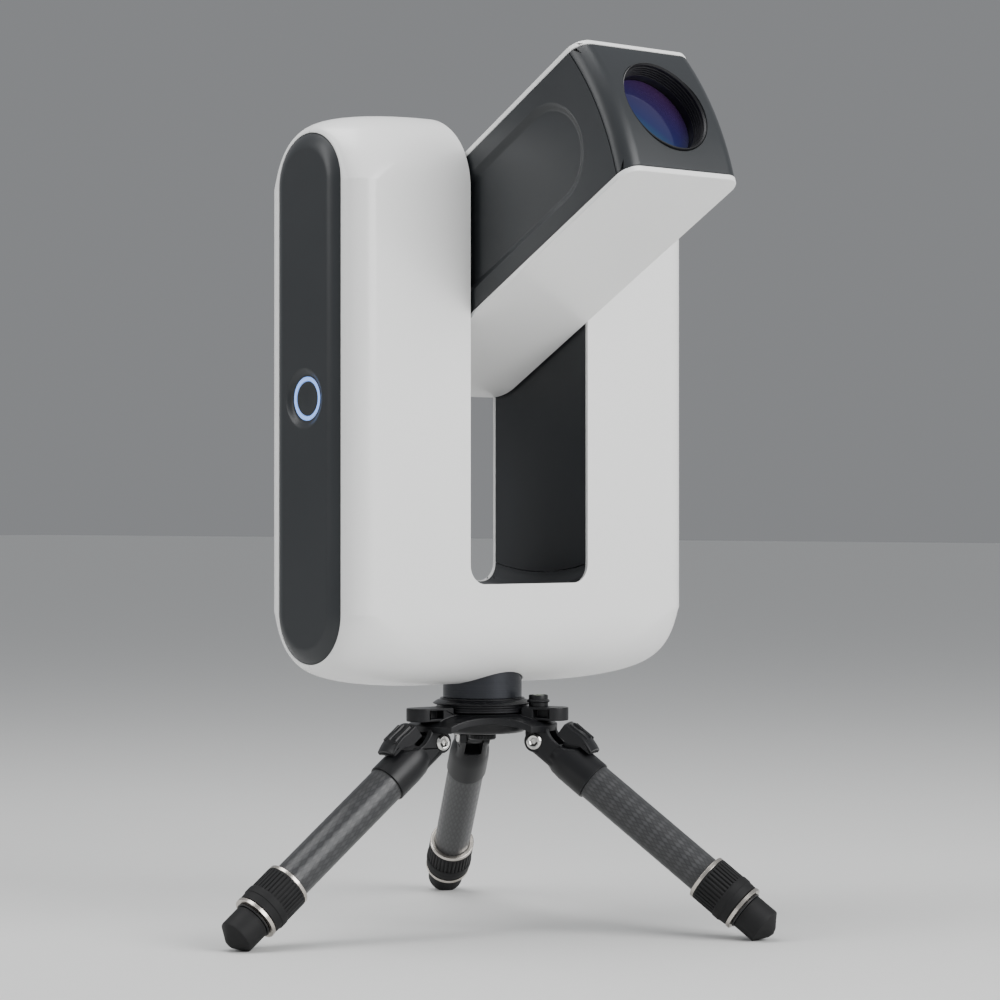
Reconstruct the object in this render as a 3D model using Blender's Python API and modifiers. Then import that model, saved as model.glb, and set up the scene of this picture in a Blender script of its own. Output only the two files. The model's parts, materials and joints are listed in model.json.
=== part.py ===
"""A star-tracking telescope head on a low three-leg stand.

A U-shaped head turns on the stand's neck (azimuth). Between its two towers an optical arm tilts on
two trunnions (altitude). Lengths are metres and angles degrees. Pieces are modelled with the floor
at z = 0 and the azimuth axis on the Z axis, and the finished model is then centred over the origin.
"""
import math

import bmesh
import bpy
from mathutils import Matrix, Vector

# Clearances
GAP = 0.0004                 # between pieces that meet
BORE_GAP = 0.0005            # round a shaft or plug in its hole

# Head
HEAD_WIDTH = 0.390
HEAD_HEIGHT = 0.490
HEAD_DEPTH = 0.130
HEAD_END_ROUND = 0.028       # how far in the rounded end starts, on the flat faces
SHELL_WALL = 0.0035
BASE_DEPTH = 0.0805          # head's bottom to the lowest point of the slot floor
PIVOT_BELOW_TOP = 0.1365
SLOT_CORNER = 0.016          # fillet along the foot of the slot's walls
LINER_WALL = 0.003

# Side panels and power button
PANEL_MARGIN = 0.0215        # white border left round a side panel
PANEL_DEPTH = 0.005
PANEL_EDGE = 0.0025
PANEL_INSET = 0.0005         # panel's face inside the shells' ends
BUTTON_RADIUS = 0.0146
RING_WIDTH = 0.0034
DISH_RADIUS = 0.025
DISH_DEPTH = 0.0030
BUTTON_BACK = 0.0030         # button and ring reach this far behind their panel

# Optical arm
ARM_WIDTH = 0.129
ARM_SIDE_GAP = 0.002         # arm to the slot's wall
ARM_END_GAP = 0.003          # folded arm's lens end to the slot's floor
ARM_FLUSH = 0.0005           # folded arm's face below the head's face
ARM_ELEVATION = 28.95        # above level, as stored
ARM_CORNER = 0.0150          # plan corners at the lens end
ARM_PLATE = 0.0045           # white top and bottom plates
ARM_COVER = 0.003
CAP_FRONT_WALL = 0.010       # end cap's thickness round the lens
CAP_LENGTH = 0.0152          # end cap's side; its parting line is concentric with the pivot
RECESS_DEPTH = 0.0012
RECESS_MARGIN = 0.0190
RECESS_GAP = 0.0150          # recess to the end cap
RECESS_BACK = 0.0750         # recess starts this far behind the pivot

# Optics
LENS_RADIUS = 0.0400
LENS_THICKNESS = 0.010
LENS_RECESS = 0.020
LENS_BULGE = 0.0022
BARREL_NOSE_RADIUS = 0.0428
BARREL_RADIUS = 0.0480
BARREL_LENGTH = 0.062
TUBE_RADIUS = 0.0465
TUBE_WALL = 0.0022
DRAWTUBE_RADIUS = 0.0220
DRAWTUBE_LENGTH = 0.036
CAMERA_RADIUS = 0.0200
CAMERA_LENGTH = 0.030

# Altitude and azimuth drives
TRUNNION_RADIUS = 0.0120
BEARING_RADIUS = 0.0200
BEARING_WIDTH = 0.019
UPRIGHT_GAP = 0.010          # liner's back to the frame's upright
UPRIGHT_THICKNESS = 0.025
BEAM_HEIGHT = 0.030
BEAM_BOTTOM = 0.022
GEAR_MODULE = 0.0018
GEAR_TEETH = 32
PINION_TEETH = 10
GEAR_WIDTH = 0.006
MOTOR_RADIUS = 0.0115
MOTOR_LENGTH = 0.0220
MOTOR_SHAFT = 0.002
AXLE_RADIUS = 0.0150         # azimuth axle inside the head
AXLE_BEARING_WALL = 0.006

# Neck and stand
NECK_RADIUS = 0.0347
NECK_DROP = 0.0125           # neck below the head's bottom
ADAPTER_RADIUS = 0.0435
ADAPTER_HEIGHT = 0.0127
STAND_HEIGHT = 0.2135        # floor to the head's bottom
LEG_BEARINGS = (271.7, 31.7, 151.7)   # clockwise from +Y, seen from above
LEG_ANGLE = 52.5             # from vertical
PIVOT_RADIUS = 0.0540
PIVOT_DROP = 0.0495          # head's bottom down to the leg pivots
LEG_OFFSET = 0.0035          # tube's axis above its pivot
SPIDER_RADIUS = 0.0400
SPIDER_THICKNESS = 0.0175
SPIDER_ARM_REACH = 0.0800
SPIDER_ARM_WIDTH = 0.0270
SPIDER_ARM_DROP = 0.0175     # head's bottom down to the arms' top
SPIDER_ARM_THICKNESS = 0.0120
SPIDER_ARM_STEP = 0.0025     # arms' upper face below their drop
BOSS_RADIUS = 0.0220
BOSS_DROP = 0.0445
LUG_WIDTH = 0.0140
LUG_RADIUS = 0.0085
YOKE_WIDTH = 0.0270
YOKE_RADIUS = 0.0095
COLLAR_WALL = 0.0015         # outside the tube that it holds
COLLAR_START = 0.0260
COLLAR_END = 0.0605
TUBE_SEAT = 0.0350
LEG_TUBE_RADIUS = 0.0165
LEG_TUBE_WALL = 0.0018
LOCK_WALL = 0.00475
LOCK_LENGTH = 0.0365
RING_LENGTH = 0.0035
RING_WALL = 0.0042
SLEEVE_LENGTH = 0.0022
SLEEVE_WALL = 0.0007
LOWER_TUBE_CLEAR = 0.0426     # top of the pushed-in lower tube to the upper tube's seat
LOWER_TUBE_WALL = 0.0015
FOOT_RADIUS = 0.0162
FOOT_LENGTH = 0.0200
FOOT_CONE = 0.0105
FOOT_SINK = 0.0010           # worn flat where a foot's rim meets the floor
BOLT_RADIUS = 0.0040
BOLT_HEAD_RADIUS = 0.0071
BOLT_HEAD_HEIGHT = 0.0022
STOP_LENGTH = 0.034
STOP_THICKNESS = 0.0065
STOP_WIDTH = 0.0200
STOP_CLEAR = 0.0006          # angle stop above its collar
STOP_START = 0.0120
KNOB_RADIUS = 0.0120
KNOB_HEIGHT = 0.0050
SCREW_RADIUS = 0.0045
LEVEL_RADIUS = 0.0085
LEVEL_HEIGHT = 0.0100
LEVEL_REACH = 0.0528

# Worked out from the above
HEAD_BOTTOM = STAND_HEIGHT
HEAD_MID = HEAD_BOTTOM + HEAD_HEIGHT / 2
PIVOT_HEIGHT = HEAD_BOTTOM + HEAD_HEIGHT - PIVOT_BELOW_TOP
SLOT_RADIUS = HEAD_HEIGHT - PIVOT_BELOW_TOP - BASE_DEPTH
SLOT_HALF = ARM_WIDTH / 2 + ARM_SIDE_GAP
LENS_REACH = SLOT_RADIUS - ARM_END_GAP
ARM_HALF = HEAD_DEPTH / 2 - ARM_FLUSH
REAR_REACH = PIVOT_BELOW_TOP - ARM_FLUSH
UPRIGHT_INNER = SLOT_HALF + LINER_WALL + UPRIGHT_GAP
UPRIGHT_OUTER = UPRIGHT_INNER + UPRIGHT_THICKNESS
GEAR_PLANE = UPRIGHT_OUTER + 0.008
GEAR_DISTANCE = GEAR_MODULE * (GEAR_TEETH + PINION_TEETH) / 2 + 0.0003
LINER_RADIUS = HEAD_DEPTH / 2 - SHELL_WALL - GAP
LENS_FRONT = LENS_REACH - LENS_RECESS
LEG_SIN = math.sin(math.radians(LEG_ANGLE))
LEG_COS = math.cos(math.radians(LEG_ANGLE))
LEG_PIVOT_HEIGHT = HEAD_BOTTOM - PIVOT_DROP
COLLAR_RADIUS = LEG_TUBE_RADIUS + COLLAR_WALL
LOCK_RADIUS = LEG_TUBE_RADIUS + LOCK_WALL
RING_RADIUS = LEG_TUBE_RADIUS + RING_WALL
SLEEVE_RADIUS = LEG_TUBE_RADIUS + SLEEVE_WALL
FOOT_RIM = (LEG_PIVOT_HEIGHT + (LEG_OFFSET - FOOT_RADIUS) * LEG_SIN + FOOT_SINK) / LEG_COS
FOOT_TOP = FOOT_RIM - FOOT_LENGTH
SLEEVE_TOP = FOOT_TOP - GAP - SLEEVE_LENGTH
LOWER_RING_TOP = SLEEVE_TOP - RING_LENGTH
LOCK_BOTTOM = LOWER_RING_TOP - GAP
LOCK_TOP = LOCK_BOTTOM - LOCK_LENGTH - RING_LENGTH

FINISHES = {                 # base colour, roughness, metallic
    "white_gloss": ((0.83, 0.83, 0.82), 0.22, 0.0),
    "dark_satin": ((0.045, 0.048, 0.052), 0.42, 0.0),
    "black_paint": ((0.016, 0.016, 0.018), 0.50, 0.0),
    "black_rubber": ((0.020, 0.020, 0.021), 0.80, 0.0),
    "carbon_tube": ((0.050, 0.051, 0.053), 0.35, 0.0),
    "blue_light": ((0.25, 0.42, 0.95), 0.30, 0.0),
    "lens_glass": ((0.10, 0.08, 0.22), 0.05, 0.0),
    "bare_aluminium": ((0.62, 0.62, 0.63), 0.38, 1.0),
    "steel": ((0.68, 0.68, 0.68), 0.28, 1.0),
    "brass": ((0.70, 0.55, 0.26), 0.35, 1.0),
    "circuit_board": ((0.02, 0.16, 0.08), 0.55, 0.0),
    "battery_wrap": ((0.10, 0.16, 0.30), 0.50, 0.0),
}

TURN_TO = {                  # carries the Z axis onto the named axis
    "X": Matrix.Rotation(math.pi / 2, 4, "Y"),
    "Y": Matrix.Rotation(-math.pi / 2, 4, "X"),
    "-Y": Matrix.Rotation(math.pi / 2, 4, "X"),
    "Z": Matrix.Identity(4),
}


# ---------------------------------------------------------------- tools
def clear_scene():
    for obj in list(bpy.data.objects):
        bpy.data.objects.remove(obj)


def new_collection(name):
    collection = bpy.data.collections.new(name)
    bpy.context.scene.collection.children.link(collection)
    return collection


def make_material(name):
    color, roughness, metallic = FINISHES[name]
    material = bpy.data.materials.new(name)
    material.use_nodes = True
    shader = material.node_tree.nodes["Principled BSDF"]
    shader.inputs["Base Color"].default_value = (*color, 1)
    shader.inputs["Roughness"].default_value = roughness
    shader.inputs["Metallic"].default_value = metallic
    material.diffuse_color = (*color, 1)
    return material


def object_from(bm, name="piece"):
    mesh = bpy.data.meshes.new(name)
    bm.to_mesh(mesh)
    bm.free()
    obj = bpy.data.objects.new(name, mesh)
    PARTS.objects.link(obj)
    return obj


def box(low, high):
    """A box between two corners."""
    low = Vector(low)
    high = Vector(high)
    bm = bmesh.new()
    bmesh.ops.create_cube(bm, size=1)
    for vertex in bm.verts:
        for axis in range(3):
            vertex.co[axis] = high[axis] if vertex.co[axis] > 0 else low[axis]
    return object_from(bm)


def cylinder(radius, length, axis="Z", centre=(0, 0, 0), sides=32, tip_radius=None, turn=0.0):
    """A cylinder or cone whose length is centred at a point, along an axis."""
    place = Matrix.Translation(centre) @ TURN_TO[axis] @ Matrix.Rotation(turn, 4, "Z")
    bm = bmesh.new()
    bmesh.ops.create_cone(
        bm,
        cap_ends=True,
        segments=sides,
        radius1=radius,
        radius2=radius if tip_radius is None else tip_radius,
        depth=length,
        matrix=place,
    )
    return object_from(bm)


def stadium(radius, height, low_x, high_x, middle_z, sides=32):
    """An upright round-ended slab, with its flats square to Y and its ends square to X."""
    half_side = math.pi / sides
    outer = radius / math.cos(half_side)
    centre = ((low_x + high_x) / 2, 0, 0)
    obj = cylinder(outer, high_x - low_x, "X", centre, sides, turn=half_side)
    for vertex in obj.data.vertices:
        vertex.co.z += math.copysign(height / 2 - radius, vertex.co.z) + middle_z
    return obj


def turned(profile, axis="Z", centre=(0, 0, 0), steps=20, closed=True):
    """A turned piece from (radius, height) points, going down its outer side and back up inside."""
    count = len(profile)
    edges = [(i, i + 1) for i in range(count - 1)]
    if closed:
        edges.append((count - 1, 0))
    mesh = bpy.data.meshes.new("turned")
    mesh.from_pydata([(radius, 0, height) for radius, height in profile], edges, [])
    obj = bpy.data.objects.new("turned", mesh)
    PARTS.objects.link(obj)
    screw = obj.modifiers.new("Turn", "SCREW")
    screw.steps = steps
    screw.render_steps = steps
    screw.use_merge_vertices = True
    screw.merge_threshold = 0.00001
    obj.matrix_basis = Matrix.Translation(centre) @ TURN_TO[axis]
    return obj


def plate(outline, thickness, hole_radius, axis, centre, turn=0.0):
    """A flat plate with a round hole: a filled 2D curve, thickened, as a mesh."""
    curve = bpy.data.curves.new("outline", "CURVE")
    curve.dimensions = "2D"
    curve.fill_mode = "BOTH"
    curve.extrude = thickness / 2
    hole = [polar(hole_radius, 2 * math.pi * i / 16) for i in range(16)]
    for points in (outline, hole):
        spline = curve.splines.new("POLY")
        spline.points.add(len(points) - 1)
        for point, (x, y) in zip(spline.points, points):
            point.co = (x, y, 0, 1)
        spline.use_cyclic_u = True
    source = bpy.data.objects.new("outline", curve)
    PARTS.objects.link(source)
    bpy.context.view_layer.update()
    mesh = bpy.data.meshes.new_from_object(source.evaluated_get(bpy.context.evaluated_depsgraph_get()))
    bpy.data.objects.remove(source)
    bm = bmesh.new()
    bm.from_mesh(mesh)
    bpy.data.meshes.remove(mesh)
    bmesh.ops.remove_doubles(bm, verts=bm.verts, dist=0.000001)
    place = Matrix.Translation(centre) @ TURN_TO[axis] @ Matrix.Rotation(turn, 4, "Z")
    bmesh.ops.transform(bm, matrix=place, verts=bm.verts)
    return object_from(bm)


def polar(radius, angle):
    return radius * math.cos(angle), radius * math.sin(angle)


def round_edges(obj, width, segments, chosen):
    """Round the edges whose middle point passes a test."""
    bm = bmesh.new()
    bm.from_mesh(obj.data)
    edges = [e for e in bm.edges if chosen((e.verts[0].co + e.verts[1].co) / 2, e)]
    bmesh.ops.bevel(
        bm, geom=edges, offset=width, segments=segments, profile=0.5, affect="EDGES", clamp_overlap=True
    )
    bm.to_mesh(obj.data)
    bm.free()


def combine(obj, other, operation):
    """Cut, join or keep the common part, with the other body as a guide."""
    PARTS.objects.unlink(other)
    CUTTERS.objects.link(other)
    other.hide_render = True
    other.display_type = "WIRE"
    modifier = obj.modifiers.new(operation.title(), "BOOLEAN")
    modifier.operation = operation
    modifier.object = other


def cut(obj, *others):
    for other in others:
        combine(obj, other, "DIFFERENCE")
    return obj


def join(obj, *others):
    for other in others:
        combine(obj, other, "UNION")
    return obj


def keep_inside(obj, *others):
    for other in others:
        combine(obj, other, "INTERSECT")
    return obj


def empty(name, matrix, parent=None):
    obj = bpy.data.objects.new(name, None)
    PARTS.objects.link(obj)
    obj.parent = parent
    obj.matrix_local = matrix
    return obj


def add(obj, name, finish, parent):
    """Name a finished piece, give it its finish, and hang it and its guides on its parent."""
    obj.name = name
    obj.data.name = name
    obj.data.materials.clear()
    obj.data.materials.append(MATERIALS[finish])
    is_turned = any(modifier.type == "SCREW" for modifier in obj.modifiers)
    if not is_turned:
        obj.data.shade_smooth()
        obj.data.set_sharp_from_angle(angle=math.radians(35))
    obj.parent = parent
    hang_guides(obj, parent)
    return obj


def hang_guides(obj, parent):
    """Parent a piece's cutters, and their own cutters, to the same empty as the piece."""
    for modifier in obj.modifiers:
        if modifier.type == "BOOLEAN" and modifier.object.parent is None:
            modifier.object.parent = parent
            hang_guides(modifier.object, parent)


def gear_outline(teeth):
    """Straight-flanked teeth, with the first tooth's middle at angle 0."""
    pitch = 2 * math.pi / teeth
    root = GEAR_MODULE * (teeth - 2.5) / 2
    tip = GEAR_MODULE * (teeth + 2) / 2
    points = []
    for tooth in range(teeth):
        middle = tooth * pitch
        for radius, share in ((root, -0.27), (tip, -0.14), (tip, 0.14), (root, 0.27)):
            points.append(polar(radius, middle + share * pitch))
    return points


# ---------------------------------------------------------------- head
def slot_shape(radius, half_width, corner):
    """The slot's space: a wide disc about the arm's pivot, with its rims rounded."""
    disc = cylinder(radius, 2 * half_width, "X", (0, 0, PIVOT_HEIGHT), sides=72)
    if corner:
        round_edges(disc, corner, 2, lambda middle, edge: abs(abs(middle.x) - half_width) < 0.00001)
    return disc


def head_form(inset):
    """The head's outer form, or the same form moved inwards.

    Its rounded ends are short on the flat front and back, and reach to the slot at top and bottom.
    """
    half = HEAD_WIDTH / 2 - inset
    radius = HEAD_DEPTH / 2 - inset
    form = stadium(radius, HEAD_HEIGHT - 2 * inset, -half, half, HEAD_MID)
    width = PANEL_MARGIN
    round_edges(form, width, 4, lambda middle, edge: abs(abs(middle.x) - half) < 0.00001)
    straight = (HEAD_HEIGHT - HEAD_DEPTH) / 2
    for vertex in form.data.vertices:
        into_round = (half - abs(vertex.co.x)) / width
        if into_round < 1.001:
            turn = max(abs(vertex.co.z - HEAD_MID) - straight, 0) / radius
            reach = HEAD_END_ROUND + (HEAD_WIDTH / 2 - SLOT_HALF - HEAD_END_ROUND) * min(turn, 1)
            vertex.co.x = math.copysign(half - into_round * (reach - inset), vertex.co.x)
    return form


def panel_form(low_x, high_x, gap):
    radius = HEAD_DEPTH / 2 - PANEL_MARGIN - gap
    return stadium(radius, HEAD_HEIGHT - 2 * PANEL_MARGIN - 2 * gap, low_x, high_x, HEAD_MID, 28)


def half_space(side):
    """Everything in front of (-1) or behind (1) the split between the shells, and half their gap."""
    reach = HEAD_WIDTH + HEAD_HEIGHT + STAND_HEIGHT
    near = -side * GAP / 2
    far = side * reach
    return box((-reach, min(near, far), -reach), (reach, max(near, far), 2 * reach))


def make_shells(parent):
    for name, side in (("head_front_shell", 1), ("head_rear_shell", -1)):
        shell = head_form(0)
        cut(
            shell,
            head_form(SHELL_WALL),
            slot_shape(SLOT_RADIUS, SLOT_HALF, SLOT_CORNER),
            panel_form(-HEAD_WIDTH, HEAD_WIDTH, 0),
            cylinder(NECK_RADIUS + BORE_GAP, BASE_DEPTH, "Z", (0, 0, HEAD_BOTTOM), 40),
            half_space(side),
        )
        add(shell, name, "white_gloss", parent)


def make_side_panels(parent):
    outer = HEAD_WIDTH / 2 - PANEL_INSET
    inner = outer - PANEL_DEPTH
    for name, low, high in (("left_side_panel", -outer, -inner), ("right_side_panel", inner, outer)):
        panel = panel_form(low, high, GAP)
        face = math.copysign(outer, low)
        round_edges(panel, PANEL_EDGE, 2, lambda middle, edge, face=face: abs(middle.x - face) < 0.00001)
        if low < 0:
            ring_hole = BUTTON_RADIUS + RING_WIDTH + 2 * GAP
            dish = cylinder(
                DISH_RADIUS, 2 * DISH_DEPTH, "X", (-outer, 0, HEAD_MID), 32, 2 * ring_hole - DISH_RADIUS
            )
            hole = cylinder(ring_hole, 4 * PANEL_DEPTH, "X", (-outer, 0, HEAD_MID), 32)
            cut(panel, dish, hole)
        add(panel, name, "dark_satin", parent)


def make_button(head, button):
    face = -HEAD_WIDTH / 2 + PANEL_INSET + DISH_DEPTH
    depth = PANEL_DEPTH + BUTTON_BACK - DISH_DEPTH
    inner = BUTTON_RADIUS + GAP
    outer = inner + RING_WIDTH
    ring = turned([(outer, depth), (outer, 0), (inner, 0), (inner, depth)], "X", (face, 0, HEAD_MID))
    add(ring, "light_ring", "blue_light", head)
    cap = cylinder(BUTTON_RADIUS, depth, "X", (depth / 2, 0, 0), 32)
    round_edges(cap, 0.0008, 2, lambda middle, edge: abs(middle.x) < 0.00001)
    add(cap, "power_button", "dark_satin", button)


def make_slot_liner(parent):
    seam = SLOT_RADIUS - SLOT_CORNER
    inner = SLOT_HALF
    outer = SLOT_HALF + LINER_WALL
    height = HEAD_HEIGHT - 2 * (SHELL_WALL + GAP)
    for name, low, high in (("slot_liner_left", -outer, -inner), ("slot_liner_right", inner, outer)):
        liner = stadium(LINER_RADIUS, height, low, high, HEAD_MID)
        keep_inside(liner, cylinder(seam - GAP, HEAD_WIDTH, "X", (0, 0, PIVOT_HEIGHT), 72))
        cut(liner, cylinder(TRUNNION_RADIUS + 2 * BORE_GAP, HEAD_WIDTH, "X", (0, 0, PIVOT_HEIGHT), 24))
        add(liner, name, "dark_satin", parent)
    floor_top = PIVOT_HEIGHT - seam * 0.9
    floor = box(
        (-outer, -LINER_RADIUS, PIVOT_HEIGHT - SLOT_RADIUS - LINER_WALL), (outer, LINER_RADIUS, floor_top)
    )
    cut(
        floor,
        slot_shape(SLOT_RADIUS, SLOT_HALF, SLOT_CORNER),
        cylinder(seam, HEAD_WIDTH, "X", (0, 0, PIVOT_HEIGHT), 72),
    )
    add(floor, "slot_floor", "dark_satin", parent)


def cavity_half_depth(height):
    """Half the depth of the room inside the shells, at a height above the head's bottom."""
    radius = HEAD_DEPTH / 2 - SHELL_WALL
    below = max(HEAD_DEPTH / 2 - height, 0)
    return math.sqrt(radius**2 - below**2)


def make_frame(parent):
    beam_low = HEAD_BOTTOM + BEAM_BOTTOM
    beam_high = beam_low + BEAM_HEIGHT
    half_depth = cavity_half_depth(BEAM_BOTTOM) - 0.002
    frame = box((-UPRIGHT_OUTER, -half_depth, beam_low), (UPRIGHT_OUTER, half_depth, beam_high))
    top = PIVOT_HEIGHT + BEARING_RADIUS + 0.015
    reach = half_depth - 0.008
    for side in (-1, 1):
        low, high = sorted((side * UPRIGHT_INNER, side * UPRIGHT_OUTER))
        join(frame, box((low, -reach, beam_high - 0.005), (high, reach, top)))
    cut(
        frame,
        cylinder(BEARING_RADIUS + GAP, 2 * UPRIGHT_OUTER + 0.02, "X", (0, 0, PIVOT_HEIGHT), 32),
        cylinder(AXLE_RADIUS + AXLE_BEARING_WALL + GAP, 4 * BEAM_HEIGHT, "Z", (0, 0, beam_low), 32),
        cylinder(MOTOR_SHAFT + GAP, 4 * BEAM_HEIGHT, "Z", (GEAR_DISTANCE, 0, beam_low), 16),
    )
    add(frame, "head_frame", "bare_aluminium", parent)


def ring_profile(inner, outer, length):
    return [(outer, length / 2), (outer, -length / 2), (inner, -length / 2), (inner, length / 2)]


def make_head_bearings(parent):
    middle = (UPRIGHT_INNER + UPRIGHT_OUTER) / 2
    for name, x in (("altitude_bearing_left", -middle), ("altitude_bearing_right", middle)):
        ring = turned(
            ring_profile(TRUNNION_RADIUS + BORE_GAP, BEARING_RADIUS, BEARING_WIDTH),
            "X",
            (x, 0, PIVOT_HEIGHT),
            24,
        )
        add(ring, name, "steel", parent)
    azimuth = turned(
        ring_profile(AXLE_RADIUS + BORE_GAP, AXLE_RADIUS + AXLE_BEARING_WALL, BEAM_HEIGHT * 0.7),
        "Z",
        (0, 0, HEAD_BOTTOM + BEAM_BOTTOM + BEAM_HEIGHT / 2),
        24,
    )
    add(azimuth, "azimuth_bearing", "steel", parent)


def make_drives(head, arm, azimuth_spindle, altitude_spindle):
    gear_low = HEAD_BOTTOM + NECK_TOP + GAP
    gear_middle = gear_low + GEAR_WIDTH / 2
    outline = gear_outline(GEAR_TEETH)
    fixed = plate(outline, GEAR_WIDTH, AXLE_RADIUS + BORE_GAP, "Z", (0, 0, gear_middle))
    add(fixed, "azimuth_gear", "brass", ROOT)
    half_tooth = math.pi / PINION_TEETH
    pinion_outline = gear_outline(PINION_TEETH)

    pinion = plate(pinion_outline, GEAR_WIDTH, MOTOR_SHAFT, "Z", (0, 0, 0), half_tooth)
    motor_low = HEAD_BOTTOM + BEAM_BOTTOM + BEAM_HEIGHT + GAP
    shaft_top = motor_low - 2 * GAP - gear_middle
    shaft_low = -GEAR_WIDTH / 2 - GAP
    shaft_radius = MOTOR_SHAFT + GAP / 2
    middle = (shaft_top + shaft_low) / 2
    join(pinion, cylinder(shaft_radius, shaft_top - shaft_low, "Z", (0, 0, middle), 12))
    add(pinion, "azimuth_pinion", "brass", azimuth_spindle)
    motor = cylinder(
        MOTOR_RADIUS, MOTOR_LENGTH, "Z", (GEAR_DISTANCE, 0, motor_low + MOTOR_LENGTH / 2), 16
    )
    add(motor, "azimuth_motor", "steel", head)

    mesh_turn = math.radians(ARM_ELEVATION)     # a tooth points straight down at the pinion
    wheel = plate(outline, GEAR_WIDTH, TRUNNION_RADIUS + BORE_GAP, "X", (GEAR_PLANE, 0, 0), mesh_turn)
    add(wheel, "altitude_gear", "brass", arm)
    pinion = plate(pinion_outline, GEAR_WIDTH, MOTOR_SHAFT, "X", (0, 0, 0), half_tooth)
    shaft_high = GEAR_WIDTH / 2 + 0.004
    middle = (shaft_high + shaft_low) / 2
    join(pinion, cylinder(shaft_radius, shaft_high - shaft_low, "X", (middle, 0, 0), 12))
    add(pinion, "altitude_pinion", "brass", altitude_spindle)
    motor_x = GEAR_PLANE + shaft_high + 2 * GAP
    motor = cylinder(
        MOTOR_RADIUS, MOTOR_LENGTH, "X", (motor_x + MOTOR_LENGTH / 2, 0, PIVOT_HEIGHT - GEAR_DISTANCE), 16
    )
    add(motor, "altitude_motor", "steel", head)


def make_electronics(parent):
    outer = HEAD_WIDTH / 2 - HEAD_END_ROUND
    half_depth = cavity_half_depth(HEAD_DEPTH / 2) - 0.020
    low = HEAD_BOTTOM + HEAD_DEPTH / 2
    battery = box(
        (-outer, -half_depth, low), (-UPRIGHT_OUTER - 0.012, half_depth, HEAD_MID - 0.030)
    )
    round_edges(battery, 0.004, 2, lambda middle, edge: True)
    add(battery, "battery_pack", "battery_wrap", parent)
    board = box((outer - 0.0016, -half_depth, low), (outer, half_depth, HEAD_MID + HEAD_HEIGHT / 4))
    add(board, "main_board", "circuit_board", parent)


# ---------------------------------------------------------------- optical arm, lens end towards -Y
def arm_form(inset, half_width):
    """The arm's form seen from the side: full-round rear end, front end concentric with the pivot."""
    radius = ARM_HALF - inset
    rear_centre = REAR_REACH - ARM_HALF
    form = stadium(radius, 2 * radius, -half_width, half_width, 0)
    for vertex in form.data.vertices:
        vertex.co.y += rear_centre if vertex.co.y > 0 else -LENS_REACH
    return form


def arm_end(inset):
    """A wide disc about the pivot with rounded rims, whose front bounds the arm's lens end."""
    half = ARM_WIDTH / 2 - inset
    disc = cylinder(LENS_REACH - inset, 2 * half, "X", sides=96)
    round_edges(disc, ARM_CORNER, 3, lambda middle, edge: abs(abs(middle.x) - half) < 0.00001)
    return disc


def make_arm_shells(parent):
    for name, side in (("arm_upper_shell", -1), ("arm_lower_shell", 1)):
        shell = arm_form(0, ARM_WIDTH / 2)
        near = -side * GAP / 2
        far = side * ARM_WIDTH
        other_half = box(
            (-ARM_WIDTH, -2 * LENS_REACH, min(near, far)), (ARM_WIDTH, LENS_REACH, max(near, far))
        )
        cut(shell, arm_form(ARM_PLATE, ARM_WIDTH), other_half)
        keep_inside(shell, arm_end(0))
        add(shell, name, "white_gloss", parent)


def make_arm_covers(parent):
    outer = ARM_WIDTH / 2 - 0.0003
    inner = outer - ARM_COVER
    recess_front = LENS_REACH - CAP_LENGTH - RECESS_GAP
    recess_radius = ARM_HALF - RECESS_MARGIN
    for name, low, high in (("arm_left_cover", -outer, -inner), ("arm_right_cover", inner, outer)):
        cover = arm_form(ARM_PLATE + GAP, 1)
        for vertex in cover.data.vertices:
            vertex.co.x = low if vertex.co.x < 0 else high
        recess = stadium(recess_radius, 2 * recess_radius, -ARM_WIDTH, ARM_WIDTH, 0, 32)
        for vertex in recess.data.vertices:
            vertex.co.y += (RECESS_BACK - recess_radius) if vertex.co.y > 0 else recess_radius - recess_front
            face = outer - RECESS_DEPTH
            if (vertex.co.x < 0) == (low < 0):
                vertex.co.x = math.copysign(ARM_WIDTH, low)
            else:
                vertex.co.x = math.copysign(face, low)
        keep_inside(cover, cylinder(LENS_REACH - CAP_LENGTH, 2 * ARM_WIDTH, "X", sides=96))
        cut(cover, recess, cylinder(TRUNNION_RADIUS + BORE_GAP, 2 * ARM_WIDTH, "X", sides=24))
        add(cover, name, "dark_satin", parent)


def make_end_cap(parent):
    half = ARM_WIDTH / 2 - 0.0003
    height = ARM_HALF - ARM_PLATE - GAP
    cap = box((-half, -LENS_REACH, -height), (half, 2 * CAP_LENGTH - LENS_REACH, height))
    keep_inside(cap, arm_end(0.0003))
    wall = ARM_COVER
    room_front = CAP_FRONT_WALL - LENS_REACH
    room = box((wall - half, room_front, wall - height), (half - wall, 0, height - wall))
    keep_inside(room, arm_end(wall))
    cut(
        cap,
        room,
        cylinder(BARREL_NOSE_RADIUS + GAP, LENS_REACH, "Y", (0, -LENS_REACH, 0), 48),
        cylinder(LENS_REACH - CAP_LENGTH + GAP, 2 * ARM_WIDTH, "X", sides=96),
    )
    add(cap, "arm_end_cap", "dark_satin", parent)


def lens_profile():
    """Two shallow spherical faces and a straight edge, as a half section from top to bottom."""
    points = []
    count = 3
    for side in (1, -1):
        for step in range(count + 1):
            share = step / count if side > 0 else 1 - step / count
            radius = LENS_RADIUS * share
            sag = LENS_BULGE * (1 - share**2)
            points.append((radius, side * (LENS_THICKNESS / 2 - LENS_BULGE + sag)))
    return points


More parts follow.
